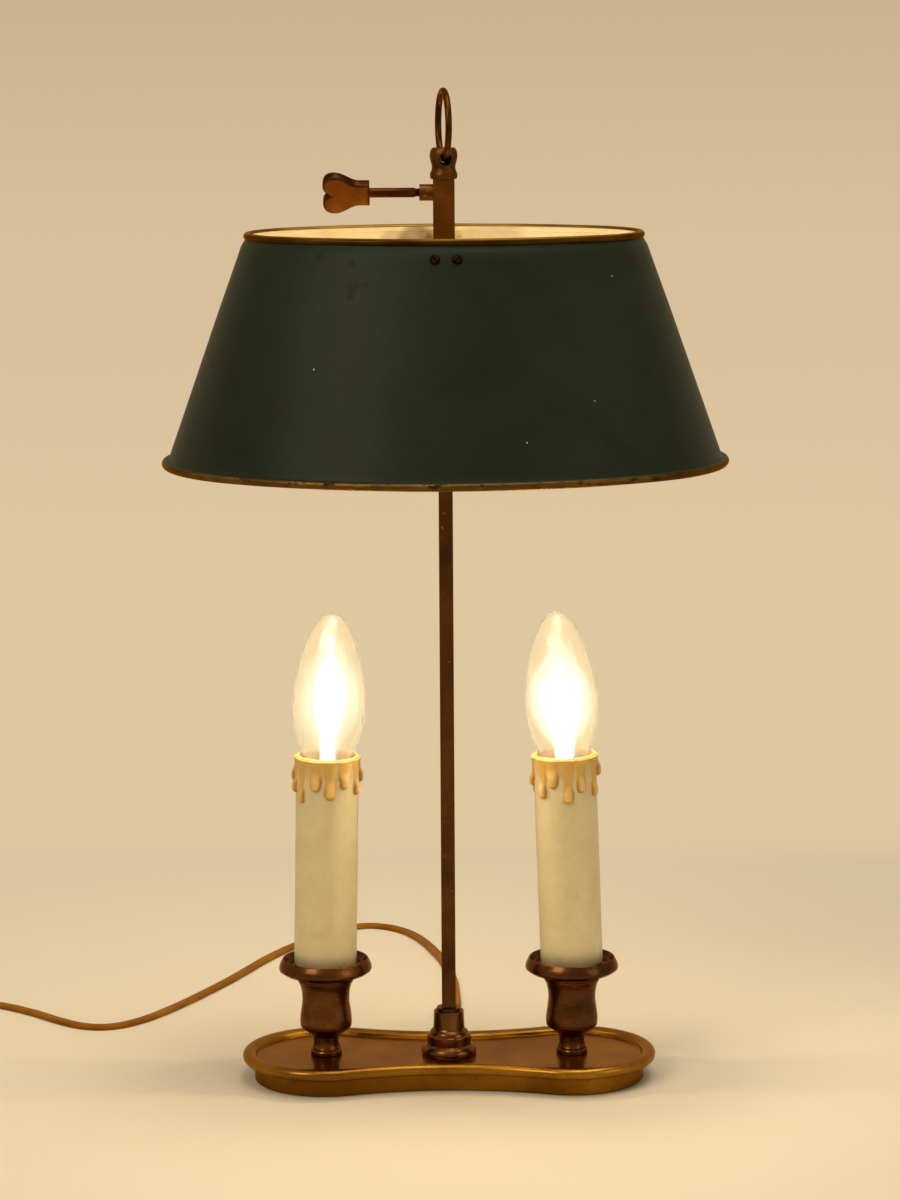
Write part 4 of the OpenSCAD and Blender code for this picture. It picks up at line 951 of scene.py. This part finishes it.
def make_candle(side):
    """A sleeve with its wax: the outer face is a fine grid, moved out where the wax is."""
    place = candle_place(side)
    turns = [360 * k / 240 for k in range(240)]
    bore = SLEEVE_R - SLEEVE_T
    grid_foot = SLEEVE_LEN - WAXED
    rings, samples = [], []

    def add_ring(radius, z, waxed=False):
        drop = SLEEVE_LEN - z
        ring = []
        for turn in turns:
            out, crest, bead = wax_at(turn, drop, RUNS[side]) if waxed else (0, 1, 0)
            wobble = 0.12 * noise.noise(Vector((turn / 40, z / 30, SIDES[side]))) if waxed else 0
            a = radians(turn - 90)
            r = radius + out + wobble
            ring.append(place @ Vector((r * cos(a), r * sin(a), z)))
            run = max(min(out, 1), 0.34 * smoothstep(15, 7, drop)) if waxed else 1
            # The lip is darkened a little, and the bore fully as painted shade
            rim = 0 if waxed else 0.6 if radius > bore + 0.4 else 1
            samples.append((run, crest, bead, drop / SLEEVE_LEN, rim))
        rings.append(ring)

    add_ring(SLEEVE_R - 0.5, 0)
    heights = [0.6] + [grid_foot * i / 10 for i in range(1, 10)]
    for z in heights + [grid_foot + 0.3 * i for i in range(85)]:
        add_ring(SLEEVE_R, z, waxed=True)
    for i in range(6):
        a = radians(18 * (i + 0.5))
        add_ring(SLEEVE_R - 0.8 + 1.2 * cos(a), SLEEVE_LEN - 0.8 + 0.8 * sin(a))
    add_ring(bore + 0.3, SLEEVE_LEN - 0.05)
    for z in (SLEEVE_LEN - 0.5, SLEEVE_LEN - 3, SLEEVE_LEN - 10, 50, 0):
        add_ring(bore, z)
    piece = make_piece(f"candle_{side}", skin(rings, closed=True), [WAX], "stand",
                       [f"candle_sleeve_{side}"], sharp=70)
    for name, values in zip(("run", "crest", "bead", "drop", "rim"), zip(*samples)):
        point_values(piece, name, values)


for side in SIDES:
    make_candle(side)

# ---- Bulbs ----


def lamp_place(side):
    """The bulb's own frame at the top of its candle, from the joint that it turns on."""
    joint = next(j for j in frame["joints"] if j["name"] == f"bulb_{side}_turn")
    tilt = Vector((0, 0, 1)).rotation_difference(Vector(joint["axis"])).to_matrix().to_4x4()
    return Matrix.Translation(Vector(joint["pos_m"]) / MM) @ tilt


def bulb_outline(wall):
    """The flame-shaped outline from the tip down to the neck, moved in by a wall."""
    r = BULB_R - wall
    neck = CAP_R - 0.45 - wall
    points = []
    for i in range(49):
        t = (i / 48) ** 2.2
        z = BULB_WIDE_Z + (BULB_CROWN - wall) * (1 - t)
        points.append((r * max(1 - (1 - t) ** 1.5, 0) ** 0.47, z))
    for i in range(1, 31):
        v = i / 30
        points.append((neck + (r - neck) * (1 - v * v), BULB_WIDE_Z - BULB_BELLY * v))
    return points + [(neck, BULB_WIDE_Z - BULB_BELLY - BULB_NECK)]


# Half-widths of the bright core inside a bulb, from its foot to its tip, as (radius, height)
CORE = [(0, -2), (2.6, -2), (3, 4), (3.4, 9), (4.8, 14), (6, 20), (6.4, 27), (6, 34), (4.8, 40),
        (3.1, 46), (1.7, 50), (1.1, 54), (0.8, 58), (0, 60.5)]
CORE_WIDE_Z = 27
CORE_WIDTH = {"left": 1.15, "right": 1.5}
CORE_REACH = {"left": 0.9, "right": 0.52}  # how far up the core goes above its widest part
HALO_SHELLS = 2
MOUNT_FOOT = BULB_WIDE_Z - BULB_BELLY - 1
FILAMENT_RISE = 35.2  # above the foot of the mount
FILAMENT_HALF = 5.9
FILAMENT_TURNS = 18
FILAMENT_R = 0.7
FILAMENT_WIRE_R = 0.14
LEAD_R = 0.3


def glass_radius(z):
    """The bulb's radius at a height above its candle's top."""
    if z > BULB_WIDE_Z:
        left = min((z - BULB_WIDE_Z) / BULB_CROWN, 1)
        return BULB_R * (1 - left**1.5) ** 0.47
    return CAP_R + (BULB_R - CAP_R) * (1 - ((BULB_WIDE_Z - z) / BULB_BELLY) ** 2)


def core_outline(side):
    """The bright core's outline, its part above the widest place made lower or taller."""
    reach = CORE_REACH[side]
    return [(r * CORE_WIDTH[side], z if z < CORE_WIDE_Z else CORE_WIDE_Z + (z - CORE_WIDE_Z) * reach)
            for r, z in CORE]


def core_radius(side, z):
    """The bright core's radius at a height."""
    outline = core_outline(side)
    for (r, low), (r_next, high) in zip(outline[1:], outline[2:]):
        if z <= high:
            return r + (r_next - r) * max(z - low, 0) / (high - low)
    return 0


def halo_shells(place, side):
    """Thin nested shells of light from the core out to just inside the glass."""
    shells = []
    crown = core_outline(side)[-1][1]
    for k in range(1, HALO_SHELLS + 1):
        share = 0.7 * k / HALO_SHELLS
        low, high = -1.5, crown + (BULB_RISE - 4 - crown) * share
        profile = [(0, low)]
        for i in range(41):
            z = low + (high - low) * i / 40
            room = 0.93 * glass_radius(z) * smoothstep(-8, 18, z) * smoothstep(high + 4, 0.6 * high, z)
            core = core_radius(side, z)
            profile.append((max(core + share * (room - core), 0.3), z))
        shells.append(lathe(profile + [(0, high)], 48, place))
    return join_shapes(*shells)


def smooth_profile(points):
    """A finer profile through (radius, height) points, never inside the axis."""
    return [(max(p.x, 0), p.y) for p in smooth_route(points, steps=5)]


def make_envelope(side, place):
    """The glass and the glass mount inside it."""
    walls = bulb_outline(0) + list(reversed(bulb_outline(0.8)))
    glass = make_piece(f"envelope_{side}", lathe(walls, 96, place, closed=True), [GLASS, HAZED],
                       f"bulb_{side}", [f"bulb_glass_{side}"])
    line_inside(glass, place)
    foot = MOUNT_FOOT
    mount = [(0, foot), (CAP_R - 1.6, foot), (CAP_R - 2.2, foot + 3), (3, foot + 12), (2.2, foot + 20),
             (1.8, foot + 22), (0, foot + 22.4)]
    make_piece(f"glass_mount_{side}", lathe(smooth_profile(mount), 40, place), [GLASS], f"bulb_{side}",
               [f"bulb_filament_{side}"])


def make_filament(side, place):
    """The coiled wire across the bulb and the two leads that hold it."""
    middle = MOUNT_FOOT + FILAMENT_RISE
    leads = []
    for x in (-1, 1):
        ends = (1.4 * x, 0, MOUNT_FOOT + 20), (FILAMENT_HALF * x, 0, middle)
        leads.append(tube([place @ Vector(end) for end in ends], circle(LEAD_R, 10)))
    make_piece(f"leads_{side}", join_shapes(*leads), [STEEL], f"bulb_{side}")
    spiral = []
    steps = FILAMENT_TURNS * 12
    for i in range(steps + 1):
        a = 2 * pi * i / 12
        x = FILAMENT_HALF * (2 * i / steps - 1)
        spiral.append(place @ Vector((x, FILAMENT_R * cos(a), middle + FILAMENT_R * sin(a))))
    make_piece(f"filament_{side}", tube(spiral, circle(FILAMENT_WIRE_R, 6)), [HOT], f"bulb_{side}")


def make_glow(side, place):
    """The bright core and the soft light round it, which throw no shadows."""
    core = lathe(smooth_profile(core_outline(side)), 48, place)
    for name, shape, light in (("glow", core, FLAME), ("halo", halo_shells(place, side), HALOS[side])):
        piece = make_piece(f"{name}_{side}", shape, [light], f"bulb_{side}")
        piece.visible_shadow = False


for side in SIDES:
    for make in (make_envelope, make_filament, make_glow):
        make(side, lamp_place(side))

# ---- Wiring inside the base, where the cord goes on ----


WIRES_R = 1  # of each pair of cores


def make_wiring():
    """The cord's tail to the terminal block, and the two pairs of cores, inside the base."""
    tail = [(0, 47, 4.2), (0, 37, 4.2), (0, 22.4, 4.2), (0, 17.5, 4.4), (0, 15, 4.9), (1.5, 11.5, 5.4),
            (5, 9.2, 5.9), (10, 8, 5.9), (17, 8, 5.9)]
    cord_piece("inner_cord", smooth_route(tail), ["cord_tail"])
    lines = []
    for side, start in (
        ("left", [(17, 0, 5.9), (13, -3.5, 5.9), (9, -9, 5.9), (0, -11.5, 5.9), (-12, -11, 5.5),
                  (-26, -9, 5), (-40, -6, 4.4)]),
        ("right", [(31, 6, 5.9), (33, 6, 5.9), (40, 5.4, 4.8)]),
    ):
        x = SIDES[side]
        bend = [(8, 3.9), (3, 3.8), (0.9, 4.6), (0, 7), (0, 20), (0, PAN_Z)]
        rise = [(x * (CANDLE_X - short), 0, z) for short, z in bend]
        rise += [lamp_place(side) @ Vector((0, 0, z)) for z in (-46, -36.5)]
        lines.append(tube(smooth_route(start + rise), circle(WIRES_R, 10)))
    make_piece("core_pairs", join_shapes(*lines), [BLOCK], "stand", ["wires"], sharp=80)


make_wiring()

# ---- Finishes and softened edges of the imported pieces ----

FINISHES = [
    (ROD, "stem_rod clamp_boss"), (TUBE, "slider_tube"), (COLLAR, "stem_collar"), (KNOB, "finial"),
    (BRONZE, "stem_bush candle_cup_left candle_cup_right"), (RING_COPPER, "carrying_ring"),
    (LINING, "shade_strap"), (DARK_SCREW, "shade_screws"), (BLOCK, "terminal_block"), (TIE, "cord_tie"),
    (PHENOLIC, "holder_left holder_right switch_rocker"),
    (BROWN, "cord_gland cord_grip switch_base switch_cover plug_body"),
    (BRASS, "shade_nuts plate_posts nipples plug_pins shell_left shell_right bulb_cap_left"),
    (BRASS, "bulb_cap_right contact_left contact_right"),
    (STEEL, "stem_washer stem_nut bottom_plate bottom_screws nipple_nuts grip_screws switch_screws"),
    (STEEL, "bracket_left bracket_right"),
]
SOFT_EDGES = {"stem_rod": 0.35, "slider_tube": 0.45, "shade_strap": 0.4, "cord_tie": 0.35}  # mm

for material, names in FINISHES:
    for name in names.split():
        node = frame["nodes"][name]
        node.data.materials.clear()
        node.data.materials.append(material)
for name, width in SOFT_EDGES.items():
    bevel = frame["nodes"][name].modifiers.new("soft edges", "BEVEL")
    bevel.width = width * MM
    bevel.segments = 3
    bevel.limit_method = "ANGLE"
    bevel.angle_limit = radians(50)

# ---- Stage and light ----

NEAR_TONE = (220, 205, 176)
TABLE_TONE = (228, 212, 182)  # the table near the backdrop, where less light reaches it
# Backdrop tones, nearest first: darker further back, as a painted fall-off of light
FAR_TONE = (223, 199, 160)
MIDDLE_TONE = (214, 190, 153)
DISTANT_TONE = (203, 179, 144)
TABLE_END = 0.46  # metres behind the lamp, where the table meets the backdrop
TABLE_BLUR = 0.05
BULB_POWER = {"left": 0.36, "right": 0.46}  # watts
BULB_LIGHT_Z = 26  # above the candle's top
BULB_LIGHT_R = 7


def make_floor():
    """One wide floor: a pale table near the lamp, and the backdrop's colour behind it, painted darker
    further back as painted shade.
    """
    bpy.ops.mesh.primitive_plane_add(size=160, location=(0, 60, 0))
    floor = bpy.context.object
    floor.name = "floor"
    look = Look("table and backdrop", roughness=0.8, specular_ior_level=0.2)
    behind = look.node("SeparateXYZ", "Y", {0: look.node("NewGeometry", "Position")})
    depth = look.times(behind, 2.2)
    look.set(base_color=look.ramp(depth, (0.1, NEAR_TONE), (0.85, TABLE_TONE)))
    nearness = look.math("DIVIDE", 1.0, look.math("ADD", behind, 1.2))
    colour = look.ramp(nearness, (0.0, DISTANT_TONE), (0.12, MIDDLE_TONE), (0.35, FAR_TONE))
    far = look.rise(behind, TABLE_END - TABLE_BLUR, TABLE_END + TABLE_BLUR)
    look.cover(far, look.shader.outputs[0], look.node("Emission", 0, {"Color": colour}))
    floor.data.materials.append(look.material)


def make_world():
    """A dim white surround, which the camera, gloss and glass see as the backdrop's colour."""
    scene.world = bpy.data.worlds.new("studio")
    nodes = Nodes(scene.world, "World Output")
    share = nodes.node("LightPath", "Is Camera Ray")
    for kind in ("Is Glossy Ray", "Is Transmission Ray"):
        share = nodes.math("MAXIMUM", share, nodes.node("LightPath", kind))
    surround = nodes.node("Background", 0, {"Color": (250, 243, 230), "Strength": 0.34})
    nodes.cover(share, surround, nodes.node("Background", 0, {"Color": DISTANT_TONE}))


def make_lamp(name, kind, place, power, colour):
    data = bpy.data.lights.new(name, kind)
    data.energy = power
    data.color = srgb(*colour)[:3]
    lamp = add_object(name, data)
    lamp.location = place
    return lamp


def soft_lamp(name, place, target, size, power, colour):
    """A rectangular lamp turned to a target, its size in metres."""
    lamp = make_lamp(name, "AREA", place, power, colour)
    lamp.data.shape = "RECTANGLE"
    lamp.data.size, lamp.data.size_y = size
    lamp.rotation_mode = "QUATERNION"
    lamp.rotation_quaternion = (Vector(target) - Vector(place)).to_track_quat("-Z", "Y")


make_floor()
make_world()
soft_lamp("key_light", (-1.1, -1.3, 1.5), (0, 0, 0.2), (0.9, 0.9), 15.5, (255, 242, 220))
soft_lamp("top_light", (0.3, -0.3, 2.2), (0, -0.1, 0.1), (1.6, 1.2), 26, (255, 248, 236))
soft_lamp("fill_light", (1.5, -1.0, 0.7), (0, 0, 0.2), (0.8, 1.0), 4, (255, 244, 228))
for side in SIDES:
    middle = lamp_place(side) @ Vector((0, 0, BULB_LIGHT_Z)) * MM
    lamp = make_lamp(f"bulb_light_{side}", "POINT", middle, BULB_POWER[side], (255, 238, 208))
    lamp.data.shadow_soft_size = BULB_LIGHT_R * MM
